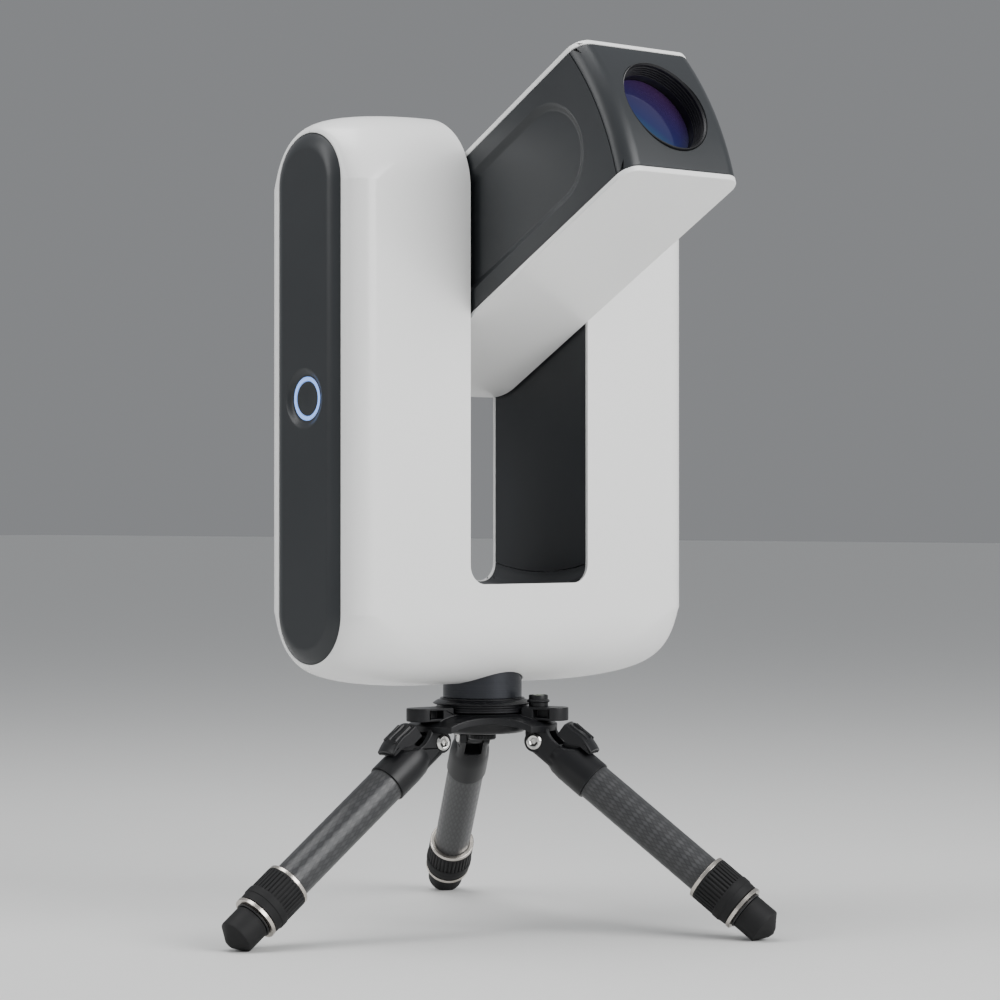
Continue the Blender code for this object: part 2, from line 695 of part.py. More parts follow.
def make_optics(parent):
    nose = LENS_REACH - 0.0012
    shoulder = LENS_REACH - ARM_COVER - 0.0075 - GAP
    back = nose - BARREL_LENGTH
    seat = LENS_FRONT - LENS_THICKNESS
    bore = LENS_RADIUS + GAP
    barrel = turned(
        [
            (BARREL_NOSE_RADIUS, nose),
            (BARREL_NOSE_RADIUS, shoulder),
            (BARREL_RADIUS, shoulder),
            (BARREL_RADIUS, back),
            (LENS_RADIUS - 0.002, back),
            (LENS_RADIUS - 0.002, seat - GAP),
            (bore, seat - GAP),
            (bore, LENS_FRONT + 0.004),
            (bore + 0.0006, LENS_FRONT + 0.004),
            (bore + 0.0006, nose - 0.004),
            (bore + 0.0014, nose),
        ],
        "-Y",
        steps=32,
    )
    add(barrel, "lens_barrel", "black_paint", parent)
    lens = turned(lens_profile(), "-Y", (0, -(seat + LENS_THICKNESS / 2), 0), 24, closed=False)
    add(lens, "objective_lens", "lens_glass", parent)
    tube_back = -TUBE_RADIUS / 2
    tube = turned(
        [
            (TUBE_RADIUS, back - GAP),
            (TUBE_RADIUS, tube_back),
            (DRAWTUBE_RADIUS + BORE_GAP, tube_back),
            (DRAWTUBE_RADIUS + BORE_GAP, tube_back + 0.004),
            (TUBE_RADIUS - TUBE_WALL, tube_back + 0.004),
            (TUBE_RADIUS - TUBE_WALL, back - GAP),
        ],
        "-Y",
        steps=24,
    )
    add(tube, "optical_tube", "black_paint", parent)
    for name, side in (("trunnion_left", -1), ("trunnion_right", 1)):
        near = TUBE_RADIUS + GAP
        far = GEAR_PLANE + GEAR_WIDTH / 2 + 0.002
        shaft = cylinder(TRUNNION_RADIUS, far - near, "X", (side * (far + near) / 2, 0, 0), 24)
        add(shaft, name, "steel", parent)


def make_camera(focuser, camera):
    low = -TUBE_RADIUS / 2 - DRAWTUBE_LENGTH + 0.016
    drawtube = turned(
        [
            (DRAWTUBE_RADIUS, DRAWTUBE_LENGTH),
            (DRAWTUBE_RADIUS, 0),
            (DRAWTUBE_RADIUS - 0.003, 0),
            (DRAWTUBE_RADIUS - 0.003, DRAWTUBE_LENGTH),
        ],
        "-Y",
        (0, -low, 0),
    )
    add(drawtube, "focuser_drawtube", "bare_aluminium", focuser)
    module = cylinder(CAMERA_RADIUS, CAMERA_LENGTH, "Y", (0, CAMERA_LENGTH / 2 + GAP - low, 0), 16)
    add(module, "camera_module", "black_paint", camera)


# ---------------------------------------------------------------- neck and stand
NECK_TOP = HEAD_DEPTH / 2 - math.sqrt((HEAD_DEPTH / 2 - SHELL_WALL) ** 2 - NECK_RADIUS**2)
AXLE_TOP = BEAM_BOTTOM + BEAM_HEIGHT + 0.004


def make_neck(parent):
    neck = turned(
        [(0, AXLE_TOP), (AXLE_RADIUS, AXLE_TOP), (AXLE_RADIUS, NECK_TOP), (NECK_RADIUS, NECK_TOP),
         (NECK_RADIUS, -NECK_DROP), (0, -NECK_DROP)],
        "Z",
        (0, 0, HEAD_BOTTOM),
        28,
        closed=False,
    )
    add(neck, "azimuth_neck", "dark_satin", parent)
    top = -NECK_DROP - GAP
    low = top - ADAPTER_HEIGHT
    lip = ADAPTER_RADIUS - 0.0065
    adapter = turned(
        [(0, top), (lip, top), (lip, top - 0.0014), (ADAPTER_RADIUS, top - 0.0046),
         (ADAPTER_RADIUS, top - 0.0052), (ADAPTER_RADIUS - 0.0030, top - 0.0056),
         (ADAPTER_RADIUS - 0.0030, top - 0.0070), (ADAPTER_RADIUS - 0.0015, top - 0.0076),
         (ADAPTER_RADIUS - 0.0015, low + 0.0030), (lip, low + 0.0026), (lip, low), (0, low)],
        "Z",
        (0, 0, HEAD_BOTTOM),
        28,
        closed=False,
    )
    add(adapter, "head_adapter", "black_paint", parent)


def leg_matrix(bearing):
    """Leg frame at its pivot: X along the pivot, Y up and outwards, Z down the leg."""
    angle = math.radians(bearing)
    outward = Vector((math.sin(angle), math.cos(angle), 0))
    up = Vector((0, 0, 1))
    along = outward * LEG_SIN - up * LEG_COS
    normal = outward * LEG_COS + up * LEG_SIN
    across = up.cross(outward)
    matrix = Matrix((across, normal, along)).transposed().to_4x4()
    matrix.translation = outward * PIVOT_RADIUS + up * LEG_PIVOT_HEIGHT
    return matrix


def spider_arm(bearing):
    """One arm, its rounded end and its pivot lug, all reaching along the leg's bearing."""
    turn = Matrix.Rotation(-math.radians(bearing), 4, "Z")
    top = HEAD_BOTTOM - SPIDER_ARM_DROP
    low = top - SPIDER_ARM_THICKNESS
    half = SPIDER_ARM_WIDTH / 2
    end = SPIDER_ARM_REACH - half
    start = SPIDER_RADIUS * 0.6
    pieces = [
        box((-half, start, low), (half, end, top - SPIDER_ARM_STEP)),
        cylinder(half, top - SPIDER_ARM_STEP - low, "Z", (0, end, (top - SPIDER_ARM_STEP + low) / 2), 16),
        box((-LUG_WIDTH / 2, SPIDER_RADIUS * 0.7, LEG_PIVOT_HEIGHT - LUG_RADIUS * 0.6),
            (LUG_WIDTH / 2, PIVOT_RADIUS, low + 0.002)),
        cylinder(LUG_RADIUS, LUG_WIDTH, "X", (0, PIVOT_RADIUS, LEG_PIVOT_HEIGHT), 16),
    ]
    hole = cylinder(BOLT_RADIUS + BORE_GAP, 2 * LUG_WIDTH, "X", (0, PIVOT_RADIUS, LEG_PIVOT_HEIGHT), 12)
    for piece in pieces + [hole]:
        piece.data.transform(turn)
    return pieces, hole


def make_spider(parent):
    top = -NECK_DROP - GAP - ADAPTER_HEIGHT - GAP
    low = top - SPIDER_THICKNESS
    bore = SCREW_RADIUS + BORE_GAP
    spider = turned(
        [(SPIDER_RADIUS - 0.003, top), (SPIDER_RADIUS, top - 0.003), (SPIDER_RADIUS, low + 0.004),
         (SPIDER_RADIUS - 0.006, low), (BOSS_RADIUS, low), (BOSS_RADIUS, -BOSS_DROP),
         (bore, -BOSS_DROP), (bore, top)],
        "Z",
        (0, 0, HEAD_BOTTOM),
        28,
    )
    holes = []
    for bearing in LEG_BEARINGS:
        pieces, hole = spider_arm(bearing)
        join(spider, *pieces)
        holes.append(hole)
    adapter_room = cylinder(ADAPTER_RADIUS + GAP, 0.04, "Z", (0, 0, HEAD_BOTTOM + top + 0.02), 40)
    cut(spider, adapter_room, *holes)
    add(spider, "tripod_spider", "black_paint", parent)


def make_hub_hardware(root, screw_parent):
    level_turn = Matrix.Rotation(-math.radians(LEG_BEARINGS[2]), 4, "Z")
    base = HEAD_BOTTOM - SPIDER_ARM_DROP - SPIDER_ARM_STEP + GAP
    level = cylinder(LEVEL_RADIUS, LEVEL_HEIGHT, "Z", (0, LEVEL_REACH, base + LEVEL_HEIGHT / 2), 16)
    round_edges(level, 0.001, 1, lambda middle, edge: middle.z > base + LEVEL_HEIGHT * 0.9)
    level.data.transform(level_turn)
    add(level, "bubble_level", "black_paint", root)
    screw_top = BOSS_DROP - NECK_DROP - ADAPTER_HEIGHT - 4 * GAP
    screw = turned(
        [(0, screw_top), (SCREW_RADIUS, screw_top), (SCREW_RADIUS, -GAP), (KNOB_RADIUS, -GAP),
         (KNOB_RADIUS, -GAP - KNOB_HEIGHT), (0, -GAP - KNOB_HEIGHT)],
        "Z",
        steps=24,
        closed=False,
    )
    add(screw, "mounting_screw", "black_paint", screw_parent)


def make_leg_collar(parent):
    half = YOKE_WIDTH / 2
    middle = (COLLAR_START + COLLAR_END) / 2
    collar = cylinder(COLLAR_RADIUS, COLLAR_END - COLLAR_START, "Z", (0, LEG_OFFSET, middle), 24)
    round_edges(collar, 0.004, 1, lambda middle, edge: middle.z < COLLAR_START + 0.0001)
    join(
        collar,
        box((-half, -YOKE_RADIUS, 0), (half, YOKE_RADIUS, COLLAR_START + 0.010)),
        cylinder(YOKE_RADIUS, YOKE_WIDTH, "X", (0, 0, 0), 16),
    )
    slot = LUG_WIDTH / 2 + BORE_GAP
    cut(
        collar,
        box((-slot, -COLLAR_RADIUS * 2, -COLLAR_RADIUS), (slot, COLLAR_RADIUS * 2, LUG_RADIUS + 0.010)),
        cylinder(BOLT_RADIUS + BORE_GAP, 2 * YOKE_WIDTH, "X", (0, 0, 0), 12),
        cylinder(LEG_TUBE_RADIUS + GAP, COLLAR_END, "Z", (0, LEG_OFFSET, TUBE_SEAT + COLLAR_END / 2), 20),
    )
    return collar


def make_angle_stop():
    """A thick tab above the collar, hinged at its lower end. Its frame is on that hinge."""
    half = STOP_WIDTH / 2
    stop = box((-half, -STOP_THICKNESS / 2, -STOP_LENGTH), (half, STOP_THICKNESS / 2, 0))
    round_edges(stop, 0.0025, 2, lambda middle, edge: middle.y > 0)
    return stop


def make_leg(index, bearing):
    matrix = leg_matrix(bearing)
    leg = empty(f"leg_pivot_{index}", matrix, ROOT)
    axis = Matrix.Translation((0, LEG_OFFSET, 0))
    axis_frame = empty(f"leg_axis_{index}", axis, leg)
    hinge = (0, LEG_OFFSET + COLLAR_RADIUS + STOP_CLEAR + STOP_THICKNESS / 2, STOP_START + STOP_LENGTH)
    stop_frame = empty(f"stop_pivot_{index}", Matrix.Translation(hinge), leg)

    add(make_leg_collar(leg), f"leg_collar_{index}", "black_paint", leg)
    add(make_angle_stop(), f"angle_stop_{index}", "black_paint", stop_frame)
    head = BOLT_HEAD_RADIUS
    reach = YOKE_WIDTH / 2 + GAP
    bolt = turned(
        [(0, reach + BOLT_HEAD_HEIGHT), (head - 0.001, reach + BOLT_HEAD_HEIGHT), (head, reach + 0.001),
         (head, reach), (BOLT_RADIUS, reach), (BOLT_RADIUS, -reach), (head, -reach),
         (head, -reach - 0.001), (head - 0.001, -reach - BOLT_HEAD_HEIGHT), (0, -reach - BOLT_HEAD_HEIGHT)],
        "X",
        steps=12,
        closed=False,
    )
    bolt.matrix_basis = matrix @ bolt.matrix_basis
    add(bolt, f"pivot_bolt_{index}", "steel", ROOT)

    tube_end = LOCK_BOTTOM - 0.010
    inner = LEG_TUBE_RADIUS - LEG_TUBE_WALL
    tube = turned(
        [(LEG_TUBE_RADIUS, tube_end), (LEG_TUBE_RADIUS, TUBE_SEAT + GAP), (inner, TUBE_SEAT + GAP),
         (inner, tube_end)],
    )
    add(tube, f"upper_tube_{index}", "carbon_tube", axis_frame)
    bore = LEG_TUBE_RADIUS + GAP
    ring_low = LOCK_TOP + RING_LENGTH
    lock = turned(
        [(LOCK_RADIUS - 0.002, LOCK_BOTTOM), (LOCK_RADIUS, LOCK_BOTTOM - 0.009), (LOCK_RADIUS, ring_low),
         (RING_RADIUS, ring_low), (RING_RADIUS, LOCK_TOP), (bore, LOCK_TOP), (bore, LOCK_BOTTOM)],
    )
    add(lock, f"twist_lock_{index}", "black_rubber", axis_frame)
    rod = inner - GAP
    rod_inner = rod - LOWER_TUBE_WALL
    rod_top = TUBE_SEAT + GAP + LOWER_TUBE_CLEAR
    plug = FOOT_TOP - GAP
    lower = turned(
        [(0, plug), (SLEEVE_RADIUS, plug), (SLEEVE_RADIUS, SLEEVE_TOP), (RING_RADIUS, SLEEVE_TOP),
         (RING_RADIUS, LOWER_RING_TOP), (rod, LOWER_RING_TOP), (rod, rod_top), (rod_inner, rod_top),
         (rod_inner, LOWER_RING_TOP), (0, LOWER_RING_TOP)],
        closed=False,
    )
    add(lower, f"lower_section_{index}", "bare_aluminium", axis_frame)
    foot = turned(
        [(0, FOOT_RIM + FOOT_CONE), (FOOT_RADIUS, FOOT_RIM), (FOOT_RADIUS, FOOT_TOP), (0, FOOT_TOP)],
        closed=False,
    )
    add(foot, f"rubber_foot_{index}", "black_rubber", axis_frame)
    reach = 2 * STAND_HEIGHT
    floor = box((-reach, -reach, -reach), (reach, reach, 0))
    floor.parent = ROOT
    cut(foot, floor)


def centre_on_floor():
    """Move the root so that the whole model's box is centred over the origin."""
    bpy.context.view_layer.update()
    depsgraph = bpy.context.evaluated_depsgraph_get()
    corners = []
    for obj in PARTS.objects:
        if obj.type == "MESH":
            piece = obj.evaluated_get(depsgraph)
            corners += [piece.matrix_world @ Vector(corner) for corner in piece.bound_box]
    for axis in (0, 1):
        values = [corner[axis] for corner in corners]
        ROOT.location[axis] -= (min(values) + max(values)) / 2


clear_scene()
PARTS = new_collection("star_tracker_mount")
CUTTERS = new_collection("cutters")
MATERIALS = {name: make_material(name) for name in FINISHES}
ROOT = empty("root", Matrix.Identity(4))
HEAD = empty("azimuth_axis", Matrix.Identity(4), ROOT)
ARM_TURN = Matrix.Rotation(-math.radians(ARM_ELEVATION), 4, "X")
ARM = empty("altitude_axis", Matrix.Translation((0, 0, PIVOT_HEIGHT)) @ ARM_TURN, HEAD)
BUTTON_FACE = -HEAD_WIDTH / 2 + PANEL_INSET + DISH_DEPTH + GAP
BUTTON = empty("button_axis", Matrix.Translation((BUTTON_FACE, 0, HEAD_MID)), HEAD)
FOCUSER = empty("focus_axis", Matrix.Identity(4), ARM)
CAMERA = empty("camera_axis", Matrix.Identity(4), FOCUSER)
GEAR_HEIGHT = HEAD_BOTTOM + NECK_TOP + GAP + GEAR_WIDTH / 2
AZIMUTH_SPINDLE = empty("azimuth_spindle", Matrix.Translation((GEAR_DISTANCE, 0, GEAR_HEIGHT)), HEAD)
ALTITUDE_SPINDLE = empty(
    "altitude_spindle", Matrix.Translation((GEAR_PLANE, 0, PIVOT_HEIGHT - GEAR_DISTANCE)), HEAD
)
SCREW = empty("screw_axis", Matrix.Translation((0, 0, HEAD_BOTTOM - BOSS_DROP)), ROOT)

make_shells(HEAD)
make_side_panels(HEAD)
make_button(HEAD, BUTTON)
make_slot_liner(HEAD)
make_frame(HEAD)
make_head_bearings(HEAD)
make_electronics(HEAD)
make_arm_shells(ARM)
make_arm_covers(ARM)
make_end_cap(ARM)
make_optics(ARM)
make_camera(FOCUSER, CAMERA)
make_drives(HEAD, ARM, AZIMUTH_SPINDLE, ALTITUDE_SPINDLE)
make_neck(ROOT)
make_spider(ROOT)
make_hub_hardware(ROOT, SCREW)
for leg_index, leg_bearing in enumerate(LEG_BEARINGS, start=1):
    make_leg(leg_index, leg_bearing)
centre_on_floor()
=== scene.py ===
"""The looks of a star-tracking telescope head on a low three-leg stand.

The head and the stand's hub are modelled round the azimuth axis, the optical arm round its pivot
with the lens towards -Y, and each leg down its own Z axis. Lengths are metres.
"""
import json
import math

import bmesh
import bpy
from mathutils import Matrix, Vector


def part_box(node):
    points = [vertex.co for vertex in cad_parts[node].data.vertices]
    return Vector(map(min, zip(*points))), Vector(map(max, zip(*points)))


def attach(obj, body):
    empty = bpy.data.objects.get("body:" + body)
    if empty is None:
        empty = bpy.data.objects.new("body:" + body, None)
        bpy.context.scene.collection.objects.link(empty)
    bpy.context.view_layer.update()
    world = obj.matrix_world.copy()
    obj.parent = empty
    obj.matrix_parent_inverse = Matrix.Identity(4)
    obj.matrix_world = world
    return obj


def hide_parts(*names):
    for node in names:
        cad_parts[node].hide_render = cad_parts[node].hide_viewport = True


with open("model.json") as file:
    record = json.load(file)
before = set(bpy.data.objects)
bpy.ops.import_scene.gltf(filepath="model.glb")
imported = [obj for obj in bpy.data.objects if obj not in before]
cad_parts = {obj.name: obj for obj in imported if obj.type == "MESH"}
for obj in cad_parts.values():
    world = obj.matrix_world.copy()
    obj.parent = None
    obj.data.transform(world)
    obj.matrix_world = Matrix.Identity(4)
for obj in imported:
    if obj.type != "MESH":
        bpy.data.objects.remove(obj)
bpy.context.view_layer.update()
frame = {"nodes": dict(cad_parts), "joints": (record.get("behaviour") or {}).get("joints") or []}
JOINTS = {joint["name"]: joint for joint in frame["joints"]}
NODES = frame["nodes"]

# Head, measured on the frame
CASING_LOW, CASING_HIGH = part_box("head_front_shell")
HEAD_WIDTH = CASING_HIGH.x - CASING_LOW.x
HEAD_HEIGHT = CASING_HIGH.z - CASING_LOW.z
HEAD_BOTTOM = CASING_LOW.z
HEAD_MID = HEAD_BOTTOM + HEAD_HEIGHT / 2
HEAD_DEPTH = 0.130
HEAD_END_ROUND = 0.028
PANEL_MARGIN = 0.0215
PANEL_PROUD = 0.0060         # flat middle of a side panel, outside the casing's end
CASING_WALL = 0.0035
SEAM = 0.0004
SLOT_HALF = 0.0665
SLOT_CORNER = 0.016
NECK_ROOM = 0.0353

# Optical arm
ARM_HALF_WIDTH = 0.0645
ARM_HALF = 0.0645
ARM_PLATE = 0.0045
ARM_CORNER = 0.015
CAP_LENGTH = 0.0152
CAP_FRONT_WALL = 0.010
COVER_WALL = 0.0040
TRUNNION_BORE = 0.0125
LENS_RADIUS = 0.0400
NOSE_RADIUS = 0.0428
LENS_RECESS = 0.020

# Places of the moving bodies
AZIMUTH = Matrix.Translation((*JOINTS["azimuth"]["pos_m"][:2], 0))
PIVOT = Vector(JOINTS["altitude"]["pos_m"])
PIVOT_HEIGHT = PIVOT.z
SIGHT = Vector(JOINTS["focus"]["axis"])


def frame_of(origin, across, along):
    """A frame with X along the first direction and Z along the second."""
    normal = along.cross(across)
    matrix = Matrix((across, normal, along)).transposed().to_4x4()
    matrix.translation = origin
    return matrix


ARM = frame_of(PIVOT, Vector((1, 0, 0)), Vector((1, 0, 0)).cross(-SIGHT))
OPTICS = frame_of(PIVOT, Vector((1, 0, 0)), SIGHT)     # Z along the line of sight
SLOT_RADIUS = PIVOT_HEIGHT - (HEAD_BOTTOM + 0.0805)
LENS_REACH = SLOT_RADIUS - 0.003
REAR_REACH = HEAD_BOTTOM + HEAD_HEIGHT - PIVOT_HEIGHT - 0.0005
LEGS = {
    index: frame_of(
        Vector(JOINTS[f"twist_lock_turn_{index}"]["pos_m"]),
        Vector(JOINTS[f"leg_fold_{index}"]["axis"]),
        Vector(JOINTS[f"twist_lock_turn_{index}"]["axis"]),
    )
    for index in (1, 2, 3)
}


# -------------------------------- shader groups
def shader_group(name, inputs, outputs):
    """An empty node group with its sockets, and its input and output nodes."""
    group = bpy.data.node_groups.new(name, "ShaderNodeTree")
    for label, kind, value in inputs:
        socket = group.interface.new_socket(label, in_out="INPUT", socket_type=kind)
        if value is not None:
            socket.default_value = value
    for label, kind in outputs:
        group.interface.new_socket(label, in_out="OUTPUT", socket_type=kind)
    return group, group.nodes.new("NodeGroupInput"), group.nodes.new("NodeGroupOutput")


def feed(tree, node, values):
    """Fill a node's inputs, named or numbered, with values or with other nodes' sockets."""
    for place, value in values.items():
        if isinstance(value, bpy.types.NodeSocket):
            tree.links.new(value, node.inputs[place])
        else:
            node.inputs[place].default_value = value


def calculation(tree, operation, first, second=None, third=None):
    """A Math node on numbers or sockets, which gives its result's socket."""
    node = tree.nodes.new("ShaderNodeMath")
    node.operation = operation
    given = enumerate((first, second, third))
    feed(tree, node, {place: value for place, value in given if value is not None})
    return node.outputs[0]


def noise(tree, vector, scale, detail=2.0, roughness=0.5):
    """A cloudy value that varies from place to place."""
    node = tree.nodes.new("ShaderNodeTexNoise")
    feed(tree, node, {"Detail": detail, "Roughness": roughness, "Scale": scale, "Vector": vector})
    return node.outputs["Fac"]


def blend_colours(tree, share, first, second):
    """From the first colour to the second as the share goes from 0 to 1."""
    node = tree.nodes.new("ShaderNodeMix")
    node.data_type = "RGBA"
    feed(tree, node, {0: share, 6: first, 7: second})      # the inputs that a colour mix uses
    return node.outputs[2]


def bump_normal(tree, height, strength, distance):
    """A normal that is tilted by a height over the surface."""
    node = tree.nodes.new("ShaderNodeBump")
    feed(tree, node, {"Height": height, "Strength": strength, "Distance": distance})
    return node.outputs["Normal"]


def parts_of(tree, vector):
    """The X, Y and Z sockets of a vector."""
    node = tree.nodes.new("ShaderNodeSeparateXYZ")
    feed(tree, node, {0: vector})
    return node.outputs[0], node.outputs[1], node.outputs[2]


def vector_of(tree, x, y):
    """A vector's socket from its X and Y."""
    node = tree.nodes.new("ShaderNodeCombineXYZ")
    feed(tree, node, {0: x, 1: y})
    return node.outputs[0]


def make_grain_group():
    """Fine moulded or powder-coated grain, with slow unevenness in colour and gloss."""
    group, given, result = shader_group(
        "surface_grain",
        [("Vector", "NodeSocketVector", None), ("Colour", "NodeSocketColor", (0.5, 0.5, 0.5, 1)),
         ("Roughness", "NodeSocketFloat", 0.4), ("Grain size", "NodeSocketFloat", 1500.0),
         ("Grain depth", "NodeSocketFloat", 0.00002), ("Unevenness", "NodeSocketFloat", 0.08)],
        [("Colour", "NodeSocketColor"), ("Roughness", "NodeSocketFloat"),
         ("Normal", "NodeSocketVector")],
    )
    grain = noise(group, given.outputs["Vector"], given.outputs["Grain size"], 3.0)
    cloud = noise(group, given.outputs["Vector"], 14.0, 4.0, 0.6)
    uneven = []
    for value in (cloud, grain):
        offset = calculation(group, "SUBTRACT", value, 0.5)
        uneven.append(calculation(group, "MULTIPLY", offset, given.outputs["Unevenness"]))
    shift, fleck = uneven
    scale = calculation(group, "ADD", calculation(group, "ADD", 1.0, shift), fleck)
    tone = group.nodes.new("ShaderNodeVectorMath")
    tone.operation = "SCALE"
    feed(group, tone, {0: given.outputs["Colour"], "Scale": scale})
    feed(group, result, {
        "Colour": tone.outputs["Vector"],
        "Roughness": calculation(group, "MULTIPLY_ADD", shift, 1.6, given.outputs["Roughness"]),
        "Normal": bump_normal(group, grain, 0.5, given.outputs["Grain depth"]),
    })
    return group


def make_turned_group():
    """Fine lathe lines round the piece's own Z axis, as on turned or brushed metal."""
    group, given, result = shader_group(
        "turned_metal",
        [("Vector", "NodeSocketVector", None), ("Roughness", "NodeSocketFloat", 0.3),
         ("Line depth", "NodeSocketFloat", 0.00001)],
        [("Roughness", "NodeSocketFloat"), ("Normal", "NodeSocketVector")],
    )
    x, y, z = parts_of(group, given.outputs["Vector"])
    squared = calculation(group, "MULTIPLY", x, x)
    squared = calculation(group, "MULTIPLY_ADD", y, y, squared)
    lines = vector_of(group, calculation(group, "SQRT", squared), z)
    streak = noise(group, lines, 4000.0, 2.0)
    offset = calculation(group, "SUBTRACT", streak, 0.5)
    feed(group, result, {
        "Roughness": calculation(group, "MULTIPLY_ADD", offset, 0.25, given.outputs["Roughness"]),
        "Normal": bump_normal(group, streak, 0.4, given.outputs["Line depth"]),
    })
    return group


def make_weave_group():
    """Carbon cloth rolled on a tube: two crossing families of slanted tows round the Z axis."""
    group, given, result = shader_group(
        "carbon_weave",
        [("Vector", "NodeSocketVector", None), ("Tube radius", "NodeSocketFloat", 0.0165),
         ("Tow width", "NodeSocketFloat", 0.0040), ("Rise", "NodeSocketFloat", 0.36)],
        [("Colour", "NodeSocketColor"), ("Roughness", "NodeSocketFloat"),
         ("Normal", "NodeSocketVector")],
    )
    x, y, z = parts_of(group, given.outputs["Vector"])
    turn = calculation(group, "ARCTAN2", y, x)
    round_way = calculation(group, "MULTIPLY", turn, given.outputs["Tube radius"])
    along = calculation(group, "MULTIPLY", z, given.outputs["Rise"])
    pitch = calculation(group, "DIVIDE", math.pi, given.outputs["Tow width"])
    waves = []
    for kind in ("ADD", "SUBTRACT"):
        slant = calculation(group, kind, round_way, along)
        waves.append(calculation(group, "SINE", calculation(group, "MULTIPLY", slant, pitch)))
    crossing = calculation(group, "MULTIPLY", *waves)
    over = calculation(group, "GREATER_THAN", crossing, 0.0)
    softened = calculation(group, "MULTIPLY_ADD", crossing, 0.5, 0.5)
    strand = vector_of(group, calculation(group, "MULTIPLY", round_way, 3.0),
                       calculation(group, "MULTIPLY", z, 0.4))
    fibres = noise(group, strand, 900.0, 3.0)
    size = [calculation(group, "ABSOLUTE", wave) for wave in waves]
    lattice = calculation(group, "SQRT", calculation(group, "MINIMUM", *size))
    tone = calculation(group, "MULTIPLY", lattice, 0.34)
    tone = calculation(group, "MULTIPLY_ADD", over, 0.16, tone)
    tone = calculation(group, "MULTIPLY_ADD", fibres, 0.40, tone)
    feed(group, result, {
        "Colour": blend_colours(group, tone, (0.004, 0.0042, 0.0048, 1), (0.085, 0.086, 0.089, 1)),
        "Roughness": calculation(group, "MULTIPLY_ADD", over, 0.12, 0.30),
        "Normal": bump_normal(group, softened, 0.35, 0.00012),
    })
    return group


GRAIN = make_grain_group()
TURNED_METAL = make_turned_group()
WEAVE = make_weave_group()


# -------------------------------- materials
def new_material(name, colour, roughness, metallic=0.0):
    """A material with a plain Principled shader, and the object's own coordinates."""
    material = bpy.data.materials.new(name)
    material.use_nodes = True
    tree = material.node_tree
    shader = tree.nodes["Principled BSDF"]
    feed(tree, shader, {"Base Color": (*colour, 1), "Roughness": roughness, "Metallic": metallic})
    place = tree.nodes.new("ShaderNodeTexCoord").outputs["Object"]
    return material, tree, shader, place


def use_group(tree, shader, group, values, place):
    """Lead a shader group's colour, roughness and normal, where it gives them, into the shader."""
    node = tree.nodes.new("ShaderNodeGroup")
    node.node_tree = group
    feed(tree, node, {"Vector": place, **values})
    targets = {"Colour": "Base Color", "Roughness": "Roughness", "Normal": "Normal"}
    feed(tree, shader, {targets[output.name]: output for output in node.outputs})


def turned_about(tree, place, matrix):
    """The object's coordinates seen from a piece's own frame."""
    node = tree.nodes.new("ShaderNodeMapping")
    node.vector_type = "TEXTURE"
    feed(tree, node,
         {"Location": matrix.translation, "Rotation": matrix.to_euler("XYZ"), "Vector": place})
    return node.outputs["Vector"]


def grained(name, colour, roughness, grain_size, grain_depth, unevenness=0.08, coat=0.0,
            metallic=0.0, sheen=0.5):
    """Moulded plastic, paint, rubber or blasted metal with fine grain."""
    material, tree, shader, place = new_material(name, colour, roughness, metallic)
    values = {"Colour": (*colour, 1), "Roughness": roughness, "Grain size": grain_size,
              "Grain depth": grain_depth, "Unevenness": unevenness}
    use_group(tree, shader, GRAIN, values, place)
    feed(tree, shader, {"Specular IOR Level": sheen, "Coat Weight": coat, "Coat Roughness": 0.12})
    return material


def turned_finish(name, colour, roughness, matrix, depth=0.00001, metallic=1.0):
    """Lathe-turned metal whose fine lines run round a frame's Z axis."""
    material, tree, shader, place = new_material(name, colour, roughness, metallic)
    values = {"Roughness": roughness, "Line depth": depth}
    use_group(tree, shader, TURNED_METAL, values, turned_about(tree, place, matrix))
    return material


def carbon_finish(name, matrix):
    """Lacquered carbon cloth round a tube's Z axis."""
    material, tree, shader, place = new_material(name, (0.06, 0.06, 0.06), 0.35)
    use_group(tree, shader, WEAVE, {}, turned_about(tree, place, matrix))
    feed(tree, shader, {"Specular IOR Level": 0.35, "Coat Weight": 0.05, "Coat Roughness": 0.25})
    return material


def coated_glass_with_painted_reflection(name):
    """A dark lens coloured from a painted cyan reflection at its lower rim through blue to the
    coating's violet.
    """
    material, tree, shader, place = new_material(name, (0.03, 0.03, 0.08), 0.04)
    x, y, _ = parts_of(tree, turned_about(tree, place, OPTICS))
    slope = calculation(tree, "MULTIPLY_ADD", y, 0.75, calculation(tree, "MULTIPLY", x, 0.65))
    share = calculation(tree, "MULTIPLY_ADD", slope, 1 / (2 * LENS_RADIUS), 0.5)
    # painted reflection: the cyan at the lower rim stands in for reflected light, the violet is the
    # coating's own tint
    tint_and_reflection_ramp = tree.nodes.new("ShaderNodeValToRGB")
    stops = tint_and_reflection_ramp.color_ramp.elements
    stops[0].position, stops[0].color = 0.10, (0.006, 0.075, 0.105, 1)
    stops[1].position, stops[1].color = 0.95, (0.030, 0.012, 0.048, 1)
    stops.new(0.42).color = (0.012, 0.016, 0.070, 1)
    feed(tree, tint_and_reflection_ramp, {"Fac": share})
    smear = noise(tree, place, 60.0, 3.0)
    feed(tree, shader, {
        "Base Color": tint_and_reflection_ramp.outputs["Color"],
        "Roughness": calculation(tree, "MULTIPLY_ADD", smear, 0.05, 0.02),
        "Specular IOR Level": 0.6, "Specular Tint": (0.45, 0.55, 1.0, 1),
        "Coat Weight": 0.15, "Coat Roughness": 0.03,
    })
    return material


def glowing(name, colour, strength):
    """A slightly uneven lit plastic."""
    material, tree, shader, place = new_material(name, colour, 0.35)
    haze = noise(tree, place, 400.0, 2.0)
    brighter = [min(1, part * 1.15) for part in colour]
    light = blend_colours(tree, haze, (*colour, 1), (*brighter, 1))
    feed(tree, shader,
         {"Base Color": light, "Emission Color": light, "Emission Strength": strength})
    return material


